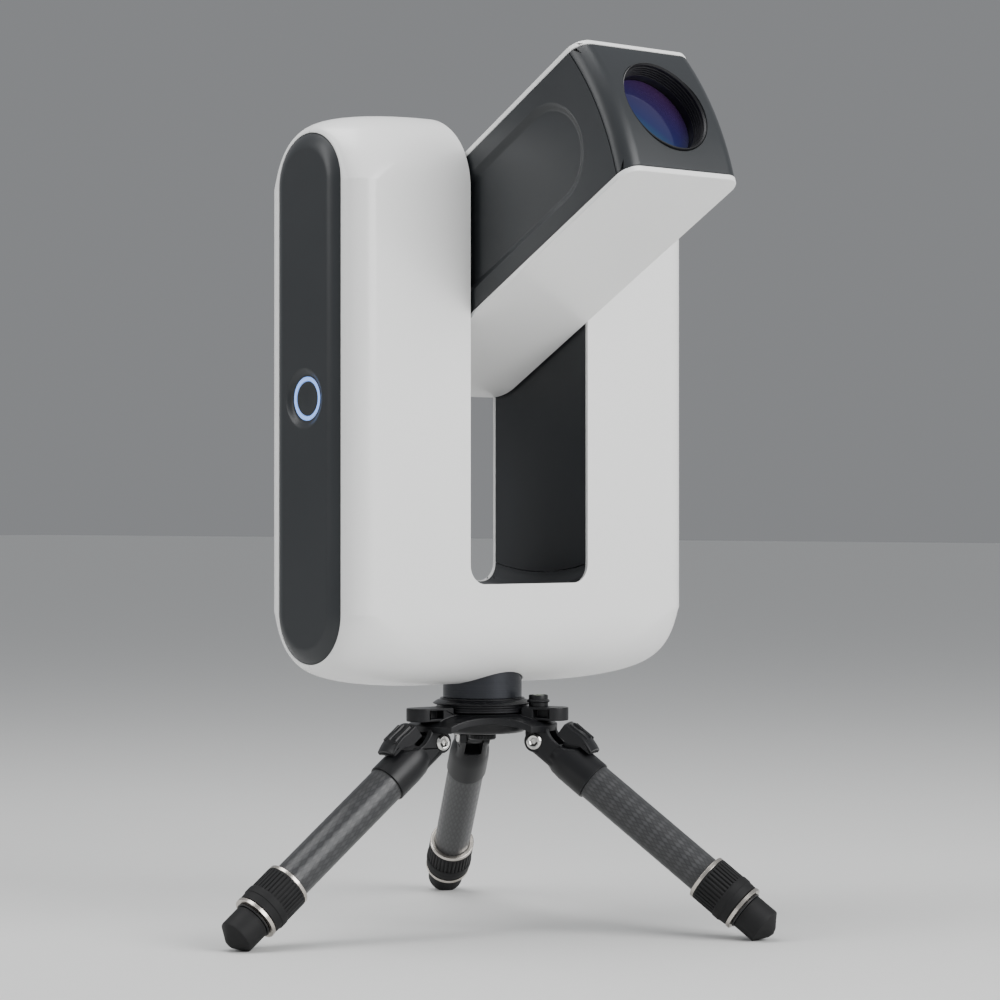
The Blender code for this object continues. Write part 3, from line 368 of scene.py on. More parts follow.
WHITE = grained("casing_white", (0.86, 0.86, 0.85), 0.34, 420.0, 0.000006, 0.02, coat=0.30)
GREY = grained("panel_grey", (0.022, 0.0245, 0.027), 0.36, 2600.0, 0.000020, sheen=0.42)
DARK = grained("liner_grey", (0.018, 0.020, 0.023), 0.40, 2600.0, 0.000020, sheen=0.4)
CAST = grained("cast_black", (0.0085, 0.0087, 0.0098), 0.36, 1800.0, 0.000030, 0.14, sheen=0.32)
RUBBER = grained("grip_rubber", (0.0105, 0.0105, 0.011), 0.62, 2200.0, 0.000050, 0.18, sheen=0.25)
GLOW = glowing("ring_light", (0.23, 0.40, 0.92), 0.9)
GLASS = coated_glass_with_painted_reflection("coated_lens_with_painted_reflection")
BARREL_BLACK = turned_finish("barrel_black", (0.012, 0.012, 0.014), 0.42, OPTICS, 0.00002, 0.3)
NECK_METAL = turned_finish("neck_metal", (0.030, 0.032, 0.038), 0.30, AZIMUTH, 0.00001, 0.6)
HUB_BLACK = turned_finish("hub_black", (0.010, 0.010, 0.012), 0.30, AZIMUTH, 0.00002, 0.4)
BARE = grained("milled_aluminium", (0.60, 0.60, 0.61), 0.36, 900.0, 0.00003, metallic=1.0)
STEEL = grained("polished_steel", (0.66, 0.66, 0.66), 0.24, 700.0, 0.00001, 0.06, metallic=1.0)
BRASS = grained("cut_brass", (0.68, 0.52, 0.24), 0.32, 1100.0, 0.00002, 0.10, metallic=1.0)
BOARD = grained("board_green", (0.02, 0.15, 0.07), 0.50, 350.0, 0.00015, 0.25)
WRAP = grained("cell_wrap", (0.09, 0.15, 0.30), 0.45, 120.0, 0.00030, 0.15)
SLEEVE_BLACK = grained("sleeve_black", (0.016, 0.016, 0.018), 0.38, 1600.0, 0.00002, 0.10)
LEVEL_GLASS = grained("level_green", (0.30, 0.45, 0.12), 0.10, 200.0, 0.00001, 0.2, coat=0.8)
BOLT_STEEL = grained("bolt_steel", (0.70, 0.69, 0.67), 0.22, 1500.0, 0.00001, 0.05, metallic=1.0)


# -------------------------------- modelling tools
def take_new(name):
    """The object just added, under its name."""
    obj = bpy.context.object
    obj.name = name
    obj.data.name = name
    return obj


def block(name, low, high):
    """A box between two corners, ready to be shaped."""
    low, high = Vector(low), Vector(high)
    bpy.ops.object.select_all(action="DESELECT")
    bpy.ops.mesh.primitive_cube_add(size=1, location=(low + high) / 2)
    obj = take_new(name)
    obj.scale = high - low
    bpy.ops.object.transform_apply(location=True, rotation=True, scale=True)
    return obj


def rod(name, radius, length, matrix=Matrix.Identity(4), sides=64):
    """A round bar centred on a frame's origin, along its Z axis."""
    bpy.ops.object.select_all(action="DESELECT")
    bpy.ops.mesh.primitive_cylinder_add(vertices=sides, radius=radius, depth=length)
    obj = take_new(name)
    obj.data.transform(matrix)
    return obj


ACROSS = Matrix.Rotation(math.pi / 2, 4, "Y")          # a rod's length along X


def only(obj):
    """Select this object alone."""
    bpy.ops.object.select_all(action="DESELECT")
    obj.select_set(True)
    bpy.context.view_layer.objects.active = obj


def edit(obj):
    """Edit mode on this object alone, with the whole mesh selected."""
    only(obj)
    bpy.ops.object.mode_set(mode="EDIT")
    bpy.ops.mesh.select_all(action="SELECT")


def stop_editing():
    """Back to object mode."""
    bpy.ops.object.mode_set(mode="OBJECT")


def pick(obj, kind, test):
    """In edit mode, select the faces, edges or vertices that pass a test on middle and direction."""
    bpy.ops.mesh.select_mode(type=kind)
    bpy.ops.mesh.select_all(action="DESELECT")
    mesh = bmesh.from_edit_mesh(obj.data)
    if kind == "EDGE":
        for edge in mesh.edges:
            first, last = edge.verts[0].co, edge.verts[1].co
            edge.select_set(test((first + last) / 2, last - first))
    elif kind == "FACE":
        for face in mesh.faces:
            face.select_set(test(face.calc_center_median(), face.normal))
    else:
        for vertex in mesh.verts:
            vertex.select_set(test(vertex.co, None))
    mesh.select_flush_mode()
    bmesh.update_edit_mesh(obj.data)


def round_off(obj, width, steps, test):
    """Bevel the edges that pass the test."""
    edit(obj)
    pick(obj, "EDGE", test)
    bpy.ops.mesh.bevel(offset=width, segments=steps, profile=0.5, affect="EDGES",
                       clamp_overlap=False)
    bpy.ops.mesh.select_all(action="SELECT")
    bpy.ops.mesh.remove_doubles(threshold=0.00001)
    stop_editing()


def apply_modifier(obj, kind, **settings):
    """Add a modifier with these settings and make it part of the mesh."""
    only(obj)
    modifier = obj.modifiers.new(kind.lower(), kind)
    for label, value in settings.items():
        setattr(modifier, label, value)
    bpy.ops.object.modifier_apply(modifier=modifier.name)


def trim(obj, operation, *others):
    """Cut, join or keep the common part, and remove the other objects."""
    for other in others:
        apply_modifier(obj, "BOOLEAN", operation=operation, object=other, solver="EXACT")
        bpy.data.objects.remove(other)


def soften(obj, width, steps=2, angle=50):
    """Small rounds on sharp edges, and even shading."""
    edit(obj)
    bpy.ops.mesh.remove_doubles(threshold=0.00002)
    bpy.ops.mesh.dissolve_limited(angle_limit=math.radians(0.2))
    stop_editing()
    if width:
        apply_modifier(
            obj, "BEVEL", width=width, segments=steps, limit_method="ANGLE",
            angle_limit=math.radians(angle), use_clamp_overlap=False,
        )
    shade(obj)


def shade(obj, angle=38):
    """Even shading that keeps edges sharper than the angle."""
    only(obj)
    bpy.ops.object.shade_smooth_by_angle(angle=math.radians(angle))
    apply_modifier(obj, "WEIGHTED_NORMAL", keep_sharp=True)


def split_at(obj, name, point, normal):
    """A copy that keeps only what lies ahead of a plane, closed along the cut."""
    half = obj.copy()
    half.data = obj.data.copy()
    half.name = name
    bpy.context.scene.collection.objects.link(half)
    edit(half)
    bpy.ops.mesh.bisect(plane_co=point, plane_no=normal, clear_inner=True, use_fill=True)
    stop_editing()
    return half


def turned(name, outline, matrix=Matrix.Identity(4), sides=72, ring=False, rounding=0.0):
    """A lathe shape drawn out ring by ring along Z from (radius, height) points.

    A ring shape comes back to its first point; any other is closed at both ends.
    """
    bpy.ops.object.select_all(action="DESELECT")
    radius, height = outline[0]
    bpy.ops.mesh.primitive_circle_add(vertices=sides, radius=radius, location=(0, 0, height))
    obj = take_new(name)
    bpy.ops.object.transform_apply(location=True, rotation=True, scale=True)
    edit(obj)
    if not ring:
        bpy.ops.mesh.edge_face_add()
        pick(obj, "VERT", lambda place, way: True)
        bpy.ops.mesh.select_mode(type="EDGE")
    points = outline[1:] + (outline[:1] if ring else [])
    for next_radius, next_height in points:
        rise = {"value": (0, 0, next_height - height)}
        bpy.ops.mesh.extrude_edges_move(TRANSFORM_OT_translate=rise)
        scale = next_radius / radius
        bpy.ops.transform.resize(value=(scale, scale, 1), center_override=(0, 0, next_height))
        radius, height = next_radius, next_height
    if not ring:
        bpy.ops.mesh.edge_face_add()
    bpy.ops.mesh.select_all(action="SELECT")
    bpy.ops.mesh.remove_doubles(threshold=0.00001)
    bpy.ops.mesh.normals_make_consistent(inside=False)
    stop_editing()
    obj.data.transform(matrix)
    if rounding:
        apply_modifier(
            obj, "BEVEL", width=rounding, segments=2, limit_method="ANGLE",
            angle_limit=math.radians(32), use_clamp_overlap=True,
        )
    shade(obj)
    return obj


def place_in(obj, matrix):
    """Move a piece that was modelled at the origin into a frame."""
    obj.data.transform(matrix)
    return obj


def finish_piece(obj, material, body, slot, *nodes):
    """Give a piece its material and body, and hide the CAD nodes that it stands for; the slot is not
    used.
    """
    obj.data.materials.clear()
    obj.data.materials.append(material)
    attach(obj, body)
    if nodes:
        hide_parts(*nodes)
    return obj


def stadium(name, low_x, high_x, radius, half_height, middle_z, steps):
    """A slab across X whose outline is a tall box with full-round ends."""
    obj = block(name, (low_x, -radius, middle_z - half_height),
                (high_x, radius, middle_z + half_height))
    round_off(obj, radius * 0.99995, steps,
              lambda middle, way: abs(way.x) > 0.9 * abs(high_x - low_x))
    return obj


def disc(name, radius, half_width, corner, steps, centre_z=0.0, sides=160):
    """A wide disc about an axis along X, with rounded rims."""
    obj = rod(name, radius, 2 * half_width, ACROSS, sides)
    obj.data.transform(Matrix.Translation((0, 0, centre_z)))
    if corner:
        round_off(obj, corner, steps, lambda middle, way: abs(abs(middle.x) - half_width) < 0.00001)
    return obj


# -------------------------------- head
def casing_block(name, inset, steps, end_steps):
    """The head's outer form. Its rounded ends reach to the slot at top and bottom."""
    half = HEAD_WIDTH / 2 - inset
    radius = HEAD_DEPTH / 2 - inset
    obj = stadium(name, -half, half, radius, HEAD_HEIGHT / 2 - inset, HEAD_MID, steps)
    round_off(obj, PANEL_MARGIN, end_steps, lambda middle, way: abs(abs(middle.x) - half) < 0.00001)
    straight = (HEAD_HEIGHT - HEAD_DEPTH) / 2
    for vertex in obj.data.vertices:
        into_round = (half - abs(vertex.co.x)) / PANEL_MARGIN
        if into_round < 1.001:
            turn = min(max(abs(vertex.co.z - HEAD_MID) - straight, 0) / radius, 1)
            reach = HEAD_END_ROUND + (HEAD_WIDTH / 2 - SLOT_HALF - HEAD_END_ROUND) * turn
            depth = PANEL_PROUD + into_round * (reach - inset - PANEL_PROUD)
            vertex.co.x = math.copysign(half - depth, vertex.co.x)
    return obj


def panel_space(name, gap, low_x, high_x):
    """The room of a side panel, made smaller all round by a gap."""
    radius = HEAD_DEPTH / 2 - PANEL_MARGIN - gap
    return stadium(name, low_x, high_x, radius, HEAD_HEIGHT / 2 - PANEL_MARGIN - gap, HEAD_MID, 40)


def make_casing():
    """The white head shell, hollow and open to the slot, in a front and a rear half."""
    whole = casing_block("casing", 0, 40, 14)
    trim(whole, "DIFFERENCE", casing_block("hollow", CASING_WALL, 24, 6))
    trim(whole, "DIFFERENCE",
         disc("slot", SLOT_RADIUS, SLOT_HALF, SLOT_CORNER, 10, PIVOT_HEIGHT, 192))
    trim(whole, "DIFFERENCE", panel_space("opening", 0, -HEAD_WIDTH, HEAD_WIDTH))
    neck = rod("neck_room", NECK_ROOM, 0.10, Matrix.Translation((0, 0, HEAD_BOTTOM)), 96)
    trim(whole, "DIFFERENCE", neck)
    soften(whole, 0.0007, 2, 55)
    for name, side, node in (("front_casing", -1, "head_front_shell"),
                             ("rear_casing", 1, "head_rear_shell")):
        half = split_at(whole, name, (0, side * SEAM / 2, 0), (0, side, 0))
        place_in(half, AZIMUTH)
        shade(half)
        finish_piece(half, WHITE, "head", "white_gloss", node)
    bpy.data.objects.remove(whole)


def round_inset(depth_share):
    """How far in from the rim, as a share of a quarter round's width, a point at this depth lies."""
    depth_share = min(max(depth_share, 0), 1)
    return math.sqrt(max(1 - (1 - depth_share) ** 2, 0))


def inward_fall(outward):
    """A convex border: how far it has fallen at this share of the way out to its rim."""
    return outward ** 2


def make_side_panels():
    """The two grey panels in the head's ends, with borders that fall away to their rims."""
    face = HEAD_WIDTH / 2 - 0.0005
    thickness = 0.0090
    roll = 0.0140                # width of the border that falls away to the rim
    bevel = roll * 0.98
    for name, side, node in (("left_panel", -1, "left_side_panel"),
                             ("right_panel", 1, "right_side_panel")):
        low, high = sorted((side * face, side * (face - roll)))
        panel = panel_space(name, SEAM, low, high)
        round_off(panel, bevel, 12,
                  lambda middle, way, s=side: abs(middle.x - s * face) < 0.00001)
        for vertex in panel.data.vertices:
            inward = round_inset((face - abs(vertex.co.x)) / bevel)
            vertex.co.x = side * (face - PANEL_PROUD * inward_fall(inward))
        back = face - PANEL_PROUD + 0.0002
        skirt = panel_space("skirt", SEAM, *sorted((side * back, side * (face - thickness))))
        trim(panel, "UNION", skirt)
        if side < 0:
            cut_dish(panel, face)
        soften(panel, 0)
        finish_piece(place_in(panel, AZIMUTH), GREY, "head", "dark_satin", node)


DISH_RADIUS = 0.0262
RING_OUTER = 0.0184
RING_INNER = 0.0150
DISH_DEPTH = 0.0030


def cut_dish(panel, face):
    """The soft round dish round the power button, and the hole for its ring."""
    outline = [(DISH_RADIUS + 0.0003, -0.0004)]
    for step in range(13):
        share = step / 12
        ease = share * share * (3 - 2 * share)
        outline.append((DISH_RADIUS - (DISH_RADIUS - RING_OUTER - 0.0008) * share,
                        DISH_DEPTH * ease))
    outline.append((0.0100, DISH_DEPTH))
    turn = Matrix.Translation((-face, 0, HEAD_MID)) @ ACROSS
    dish = turned("dish", outline, turn, 96)
    trim(panel, "DIFFERENCE", dish)
    trim(panel, "DIFFERENCE", rod("hole", RING_OUTER + SEAM, 0.04, turn, 96))


def make_power_button():
    """The lit ring and the button in it, at the bottom of the dish."""
    face = HEAD_WIDTH / 2 - 0.0005 - DISH_DEPTH
    turn = AZIMUTH @ Matrix.Translation((-face, 0, HEAD_MID)) @ ACROSS
    ring = turned(
        "power_ring",
        [(RING_OUTER, 0.0075), (RING_OUTER, 0.0004), (RING_OUTER - 0.0005, 0),
         (RING_INNER + 0.0005, 0),
         (RING_INNER, 0.0004), (RING_INNER, 0.0075)],
        turn, 96, ring=True,
    )
    finish_piece(ring, GLOW, "head", "blue_light", "light_ring")
    edge = RING_INNER - SEAM
    cap = turned(
        "button_cap",
        [(edge, 0.0078), (edge, 0.0012), (edge - 0.0004, 0.0005), (edge - 0.0012, 0.0003),
         (edge * 0.7, 0.0007), (edge * 0.4, 0.0010), (0.0002, 0.0011)],
        turn, 96,
    )
    finish_piece(cap, GREY, "power_button", "dark_satin", "power_button")


def make_slot_floor():
    """The dark curved bed at the bottom of the slot."""
    outer = SLOT_HALF + 0.003
    seam = SLOT_RADIUS - SLOT_CORNER
    radius = HEAD_DEPTH / 2 - CASING_WALL - SEAM
    top = PIVOT_HEIGHT - seam * 0.9
    floor = block("slot_bed", (-outer, -radius, PIVOT_HEIGHT - SLOT_RADIUS - 0.003),
                  (outer, radius, top))
    trim(floor, "DIFFERENCE",
         disc("slot", SLOT_RADIUS, SLOT_HALF, SLOT_CORNER, 10, PIVOT_HEIGHT, 192))
    trim(floor, "DIFFERENCE", disc("seam", seam, HEAD_WIDTH, 0, 0, PIVOT_HEIGHT, 192))
    soften(floor, 0.0003, 1, 60)
    finish_piece(place_in(floor, AZIMUTH), DARK, "head", "dark_satin", "slot_floor")


# -------------------------------- optical arm
def arm_block(name, inset, low_x, high_x, steps=40):
    """The arm seen from the side: a full-round rear end, and long enough to reach past the lens."""
    half = ARM_HALF - inset
    obj = block(name, (low_x, -0.32, -half), (high_x, REAR_REACH - inset, half))
    rear = REAR_REACH - inset
    round_off(obj, half * 0.99995, steps,
              lambda middle, way: abs(way.x) > 0.9 * (high_x - low_x) and abs(middle.y - rear) < 0.001)
    return obj


def make_arm_plates():
    """The white band round the arm, in an upper and a lower half."""
    band = arm_block("band", 0, -ARM_HALF_WIDTH, ARM_HALF_WIDTH, 48)
    trim(band, "INTERSECT", disc("end", LENS_REACH, ARM_HALF_WIDTH, ARM_CORNER, 12, 0, 192))
    trim(band, "DIFFERENCE", arm_block("room", ARM_PLATE, -0.1, 0.1, 48))
    soften(band, 0.0009, 3, 55)
    for name, side, node in (("upper_plate", 1, "arm_upper_shell"),
                             ("lower_plate", -1, "arm_lower_shell")):
        half = split_at(band, name, (0, 0, side * SEAM / 2), (0, 0, side))
        place_in(half, ARM)
        shade(half)
        finish_piece(half, WHITE, "arm", "white_gloss", node)
    bpy.data.objects.remove(band)


RECESS_HALF = 0.0455         # half the height of the recess in a side cover
RECESS_FRONT = 0.2300
RECESS_BACK = 0.0750
RECESS_SLOPE = 0.0080
RECESS_DEPTH = 0.0034


def recess_cutter(side, outer):
    """A long bowl with full-round ends, whose sides slope softly down to a flat bottom."""
    bottom = outer - RECESS_SLOPE
    low, high = sorted((side * bottom, side * (outer + 0.02)))
    bowl = stadium_along("recess", low, high, RECESS_HALF)
    round_off(bowl, RECESS_SLOPE * 0.999, 14,
              lambda middle, way: abs(middle.x - side * bottom) < 0.00001)
    for vertex in bowl.data.vertices:
        height = (abs(vertex.co.x) - bottom) / RECESS_SLOPE
        if height < 1.01:
            inward = 1 - round_inset(height)
            fall = inward * inward * (3 - 2 * inward)
            vertex.co.x = side * (outer + 0.00003 - RECESS_DEPTH * fall)
    return bowl


def stadium_along(name, low_x, high_x, half):
    """A slab across X whose outline runs along the arm with full-round ends."""
    obj = block(name, (low_x, -RECESS_FRONT + (RECESS_HALF - half), -half),
                (high_x, RECESS_BACK - (RECESS_HALF - half), half))
    round_off(obj, half * 0.99995, 36, lambda middle, way: abs(way.x) > 0.9 * (high_x - low_x))
    return obj


def make_side_covers():
    """The arm's grey sides with their long recesses."""
    outer = ARM_HALF_WIDTH - 0.0003
    inner = outer - COVER_WALL
    for name, side, node in (("left_cover", -1, "arm_left_cover"),
                             ("right_cover", 1, "arm_right_cover")):
        low, high = sorted((side * outer, side * inner))
        cover = arm_block(name, ARM_PLATE + SEAM, low, high)
        trim(cover, "INTERSECT", disc("front", LENS_REACH - CAP_LENGTH, 0.1, 0, 0, 0, 192))
        trim(cover, "DIFFERENCE", recess_cutter(side, outer))
        trim(cover, "DIFFERENCE", rod("bore", TRUNNION_BORE, 0.3, ACROSS, 48))
        soften(cover, 0)
        finish_piece(place_in(cover, ARM), GREY, "arm", "dark_satin", node)


def make_lens_cap():
    """The grey end of the arm, hollow behind its curved front, with the hole for the lens."""
    half = ARM_HALF_WIDTH - 0.0003
    height = ARM_HALF - ARM_PLATE - SEAM
    cap = block("lens_end_cap", (-half, -LENS_REACH, -height),
                (half, 2 * CAP_LENGTH - LENS_REACH, height))
    trim(cap, "INTERSECT", disc("end", LENS_REACH - 0.0003, half, ARM_CORNER, 12, 0, 192))
    wall = COVER_WALL
    room = block("room", (wall - half, CAP_FRONT_WALL - LENS_REACH, wall - height),
                 (half - wall, 0, height - wall))
    trim(room, "INTERSECT", disc("inside", LENS_REACH - wall, half - wall, ARM_CORNER, 12, 0, 192))
    trim(cap, "DIFFERENCE", room)
    along = Matrix.Translation((0, -LENS_REACH, 0)) @ Matrix.Rotation(math.pi / 2, 4, "X")
    trim(cap, "DIFFERENCE", rod("lens_hole", NOSE_RADIUS + SEAM, LENS_REACH, along, 128))
    trim(cap, "DIFFERENCE", disc("back", LENS_REACH - CAP_LENGTH + SEAM, 0.1, 0, 0, 0, 192))
    soften(cap, 0.0006, 2, 60)
    finish_piece(place_in(cap, ARM), GREY, "arm", "dark_satin", "arm_end_cap")


def make_lens_barrel():
    """The grooved black barrel and the lens at its bottom."""
    nose = LENS_REACH - 0.0012
    shoulder = LENS_REACH - 0.0109
    back = nose - 0.062
    seat = LENS_REACH - LENS_RECESS - 0.010
    bore = LENS_RADIUS + SEAM
    steps = []
    grooves = 5
    groove_pitch = 0.0022
    for groove in range(grooves):                      # light-trapping grooves down to the lens
        top = nose - 0.0035 - groove * groove_pitch
        wide = NOSE_RADIUS - 0.0012 - groove * 0.00030
        narrow = wide - 0.0008
        steps += [(wide, top), (wide, top - 0.0011), (narrow, top - 0.0013),
                  (narrow, top - groove_pitch)]
    outline = [
        (NOSE_RADIUS, nose - 0.0006), (NOSE_RADIUS, shoulder), (0.048, shoulder), (0.048, back),
        (LENS_RADIUS - 0.002, back), (LENS_RADIUS - 0.002, seat - SEAM), (bore, seat - SEAM),
        (bore, LENS_REACH - LENS_RECESS + 0.0012),
    ]
    outline += list(reversed(steps))
    outline += [(NOSE_RADIUS - 0.0016, nose - 0.0018), (NOSE_RADIUS - 0.0006, nose)]
    barrel = turned("lens_barrel_body", outline, OPTICS, 128, ring=True)
    finish_piece(barrel, BARREL_BLACK, "arm", "black_paint", "lens_barrel")
    lens_outline = []
    rings = 14
    thickness = 0.010
    bulge = 0.0022
    for side in (1, -1):
        for step in range(rings + 1):
            share = step / rings if side > 0 else 1 - step / rings
            share = max(share, 0.004)
            level = side * (thickness / 2 - bulge + bulge * (1 - share**2))
            lens_outline.append((LENS_RADIUS * share, seat + thickness / 2 + level))
    lens = turned("front_lens", lens_outline, OPTICS, 128)
    finish_piece(lens, GLASS, "arm", "lens_glass", "objective_lens")


# -------------------------------- neck and stand
def make_neck():
    """The neck between head and stand, and the turned plate under it."""
    top = HEAD_BOTTOM + 0.012
    neck_low = HEAD_BOTTOM - 0.0125
    sleeve = turned(
        "neck_sleeve",
        [(0.0345, neck_low), (0.0347, neck_low + 0.0004), (0.0347, top - 0.0005), (0.0343, top),
         (0.0150, top), (0.0150, HEAD_BOTTOM + 0.056), (0.0002, HEAD_BOTTOM + 0.056)],
        AZIMUTH, 96,
    )
    finish_piece(sleeve, NECK_METAL, "root", "dark_satin", "azimuth_neck")
    high = neck_low - SEAM
    low = high - 0.0127
    plate = turned(
        "neck_plate",
        [(0.0002, low), (0.0385, low), (0.0412, low + 0.0006), (0.0417, low + 0.0012),
         (0.0417, low + 0.0024), (0.0409, low + 0.0027), (0.0409, low + 0.0031),
         (0.0417, low + 0.0034), (0.0417, low + 0.0044),
         (0.0402, low + 0.0052), (0.0402, low + 0.0066), (0.0428, low + 0.0072),
         (0.0435, low + 0.0076),
         (0.0435, low + 0.0082), (0.0400, low + 0.0106), (0.0376, low + 0.0113),
         (0.0372, low + 0.0116),
         (0.0372, low + 0.0124), (0.0369, high), (0.0002, high)],
        AZIMUTH, 96,
    )
    finish_piece(plate, HUB_BLACK, "root", "black_paint", "head_adapter")


def hub_turn(index):
    """The hub's frame with Y out along a leg."""
    across = Vector(JOINTS[f"leg_fold_{index}"]["axis"])
    return frame_of(AZIMUTH.translation, -across, Vector((0, 0, 1)))


CROWN_TOP = HEAD_BOTTOM - 0.0260
CROWN_LOW = HEAD_BOTTOM - 0.0435
ARM_BAR_TOP = HEAD_BOTTOM - 0.0200
ARM_BAR_LOW = HEAD_BOTTOM - 0.0315
ARM_BAR_HALF = 0.0135
ARM_BAR_REACH = 0.080
HINGE_REACH = 0.054
SPIDER_BOSS_LOW = HEAD_BOTTOM - 0.0445
CENTRED = Matrix.Translation(-AZIMUTH.translation)


def crown_arm(pivot_z):
    """One arm of the stand's crown with its rounded tip and hinge lug, along +Y."""
    end = ARM_BAR_REACH - ARM_BAR_HALF
    middle = (ARM_BAR_TOP + ARM_BAR_LOW) / 2
    hinge = Matrix.Translation((0, HINGE_REACH, pivot_z)) @ ACROSS
    solids = [
        block("arm_bar", (-ARM_BAR_HALF, 0.024, ARM_BAR_LOW), (ARM_BAR_HALF, end, ARM_BAR_TOP)),
        rod("arm_tip", ARM_BAR_HALF, ARM_BAR_TOP - ARM_BAR_LOW,
            Matrix.Translation((0, end, middle)), 48),
        block("lug_web", (-0.007, 0.043, pivot_z - 0.005),
              (0.007, HINGE_REACH, ARM_BAR_LOW + 0.002)),
        rod("lug", 0.0085, 0.014, hinge, 40),
    ]
    window_low, window_high = ARM_BAR_LOW + 0.0026, ARM_BAR_TOP - 0.0022
    cutters = [
        block("left_window", (-0.02, 0.0530, window_low), (-0.0040, 0.0680, window_high)),
        block("right_window", (0.0040, 0.0530, window_low), (0.02, 0.0680, window_high)),
        rod("pin_hole", 0.0045, 0.03, hinge, 32),
    ]
    return solids, cutters


def make_canopy():
    """A thin umbrella that droops towards the legs, hollowed between them by three round bites."""
    thickness = 0.0060
    top = [(0.0300, -0.0262), (0.0360, -0.0264), (0.0420, -0.0270), (0.0480, -0.0282),
           (0.0540, -0.0300), (0.0600, -0.0324), (0.0660, -0.0354)]
    outline = [(radius, HEAD_BOTTOM + level) for radius, level in top]
    outline += [(radius, HEAD_BOTTOM + level - thickness) for radius, level in reversed(top)]
    canopy = turned("canopy", outline, sides=144, ring=True)
    for index in (1, 2, 3):
        turn = CENTRED @ hub_turn(index)
        bite = rod("bite", 0.0800, 0.08, Matrix.Translation((0, -0.1280, HEAD_BOTTOM - 0.03)), 160)
        bite.data.transform(turn)
        trim(canopy, "DIFFERENCE", bite)
    return canopy


def make_spider():
    """The stand's crown: a low dome, a drooping canopy, three windowed arms and their hinge lugs."""
    crown = turned(
        "crown",
        [(0.0060, CROWN_TOP), (0.0405, CROWN_TOP), (0.0420, CROWN_TOP - 0.0016),
         (0.0424, CROWN_TOP - 0.0040), (0.0415, CROWN_TOP - 0.0095), (0.0390, CROWN_LOW + 0.0030),
         (0.0360, CROWN_LOW + 0.0006),
         (0.0330, CROWN_LOW), (0.0220, CROWN_LOW), (0.0220, SPIDER_BOSS_LOW),
         (0.0060, SPIDER_BOSS_LOW)],
        sides=96, ring=True,
    )
    trim(crown, "UNION", make_canopy())
    pivot_z = JOINTS["leg_fold_1"]["pos_m"][2]
    for index in (1, 2, 3):
        turn = CENTRED @ hub_turn(index)
        solids, cutters = crown_arm(pivot_z)
        for piece in solids + cutters:
            piece.data.transform(turn)
        trim(crown, "UNION", *solids)
        trim(crown, "DIFFERENCE", *cutters)
    above = Matrix.Translation((0, 0, CROWN_TOP + 0.02))
    trim(crown, "DIFFERENCE", rod("plate_room", 0.0439, 0.04, above, 96))
    soften(crown, 0.0008, 2, 50)
    finish_piece(place_in(crown, AZIMUTH), CAST, "root", "black_paint", "tripod_spider")


def make_bubble_level():
    """The round level beside the neck, and its window."""
    low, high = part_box("bubble_level")
    middle = Matrix.Translation(((low.x + high.x) / 2, (low.y + high.y) / 2, 0))
    puck = turned(
        "level_puck",
        [(0.0060, low.z), (0.0086, low.z), (0.0086, low.z + 0.0032), (0.0099, low.z + 0.0040),
         (0.0099, low.z + 0.0052), (0.0092, low.z + 0.0060), (0.0084, low.z + 0.0062),
         (0.0084, high.z - 0.0008), (0.0079, high.z), (0.0068, high.z), (0.0066, high.z - 0.0008),
         (0.0002, high.z - 0.0008)],
        middle, 64,
    )
    finish_piece(puck, CAST, "root", "black_paint", "bubble_level")
    dome = turned(
        "level_window",
        [(0.0064, high.z - 0.0008), (0.0064, high.z - 0.0004), (0.0045, high.z - 0.00015),
         (0.0020, high.z), (0.0002, high.z)],
        middle, 48,
    )
    finish_piece(dome, LEVEL_GLASS, "root", "lens_glass")


def make_clamp_screw():
    """The ribbed knob under the stand that clamps the head."""
    sides = 72
    flute = 0.955                # a flute's floor against the knob's radius
    low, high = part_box("mounting_screw")
    place = Matrix.Translation((AZIMUTH.translation.x, AZIMUTH.translation.y, 0))
    radius = (high.x - low.x) / 2
    knob_top = low.z + 0.005
    knob = turned(
        "clamp_knob",
        [(0.0060, low.z + 0.0010), (0.0070, low.z), (radius - 0.0010, low.z),
         (radius, low.z + 0.0010),
         (radius, knob_top - 0.0010), (radius - 0.0010, knob_top), (0.0045, knob_top),
         (0.0045, high.z), (0.0002, high.z)],
        sides=72,
    )
    edit(knob)
    pick(knob, "FACE", lambda middle, way: (
        abs(way.z) < 0.1 and middle.xy.length > radius * 0.9
        and int((math.atan2(middle.y, middle.x) + math.pi) / (2 * math.pi) * sides) % 3 == 0
    ))
    bpy.ops.mesh.inset(thickness=0.0002, use_individual=True)
    bpy.ops.transform.resize(value=(flute, flute, 1), center_override=(0, 0, 0))
    stop_editing()
    shade(knob, 30)
    finish_piece(place_in(knob, place), CAST, "mounting_screw", "black_paint", "mounting_screw")


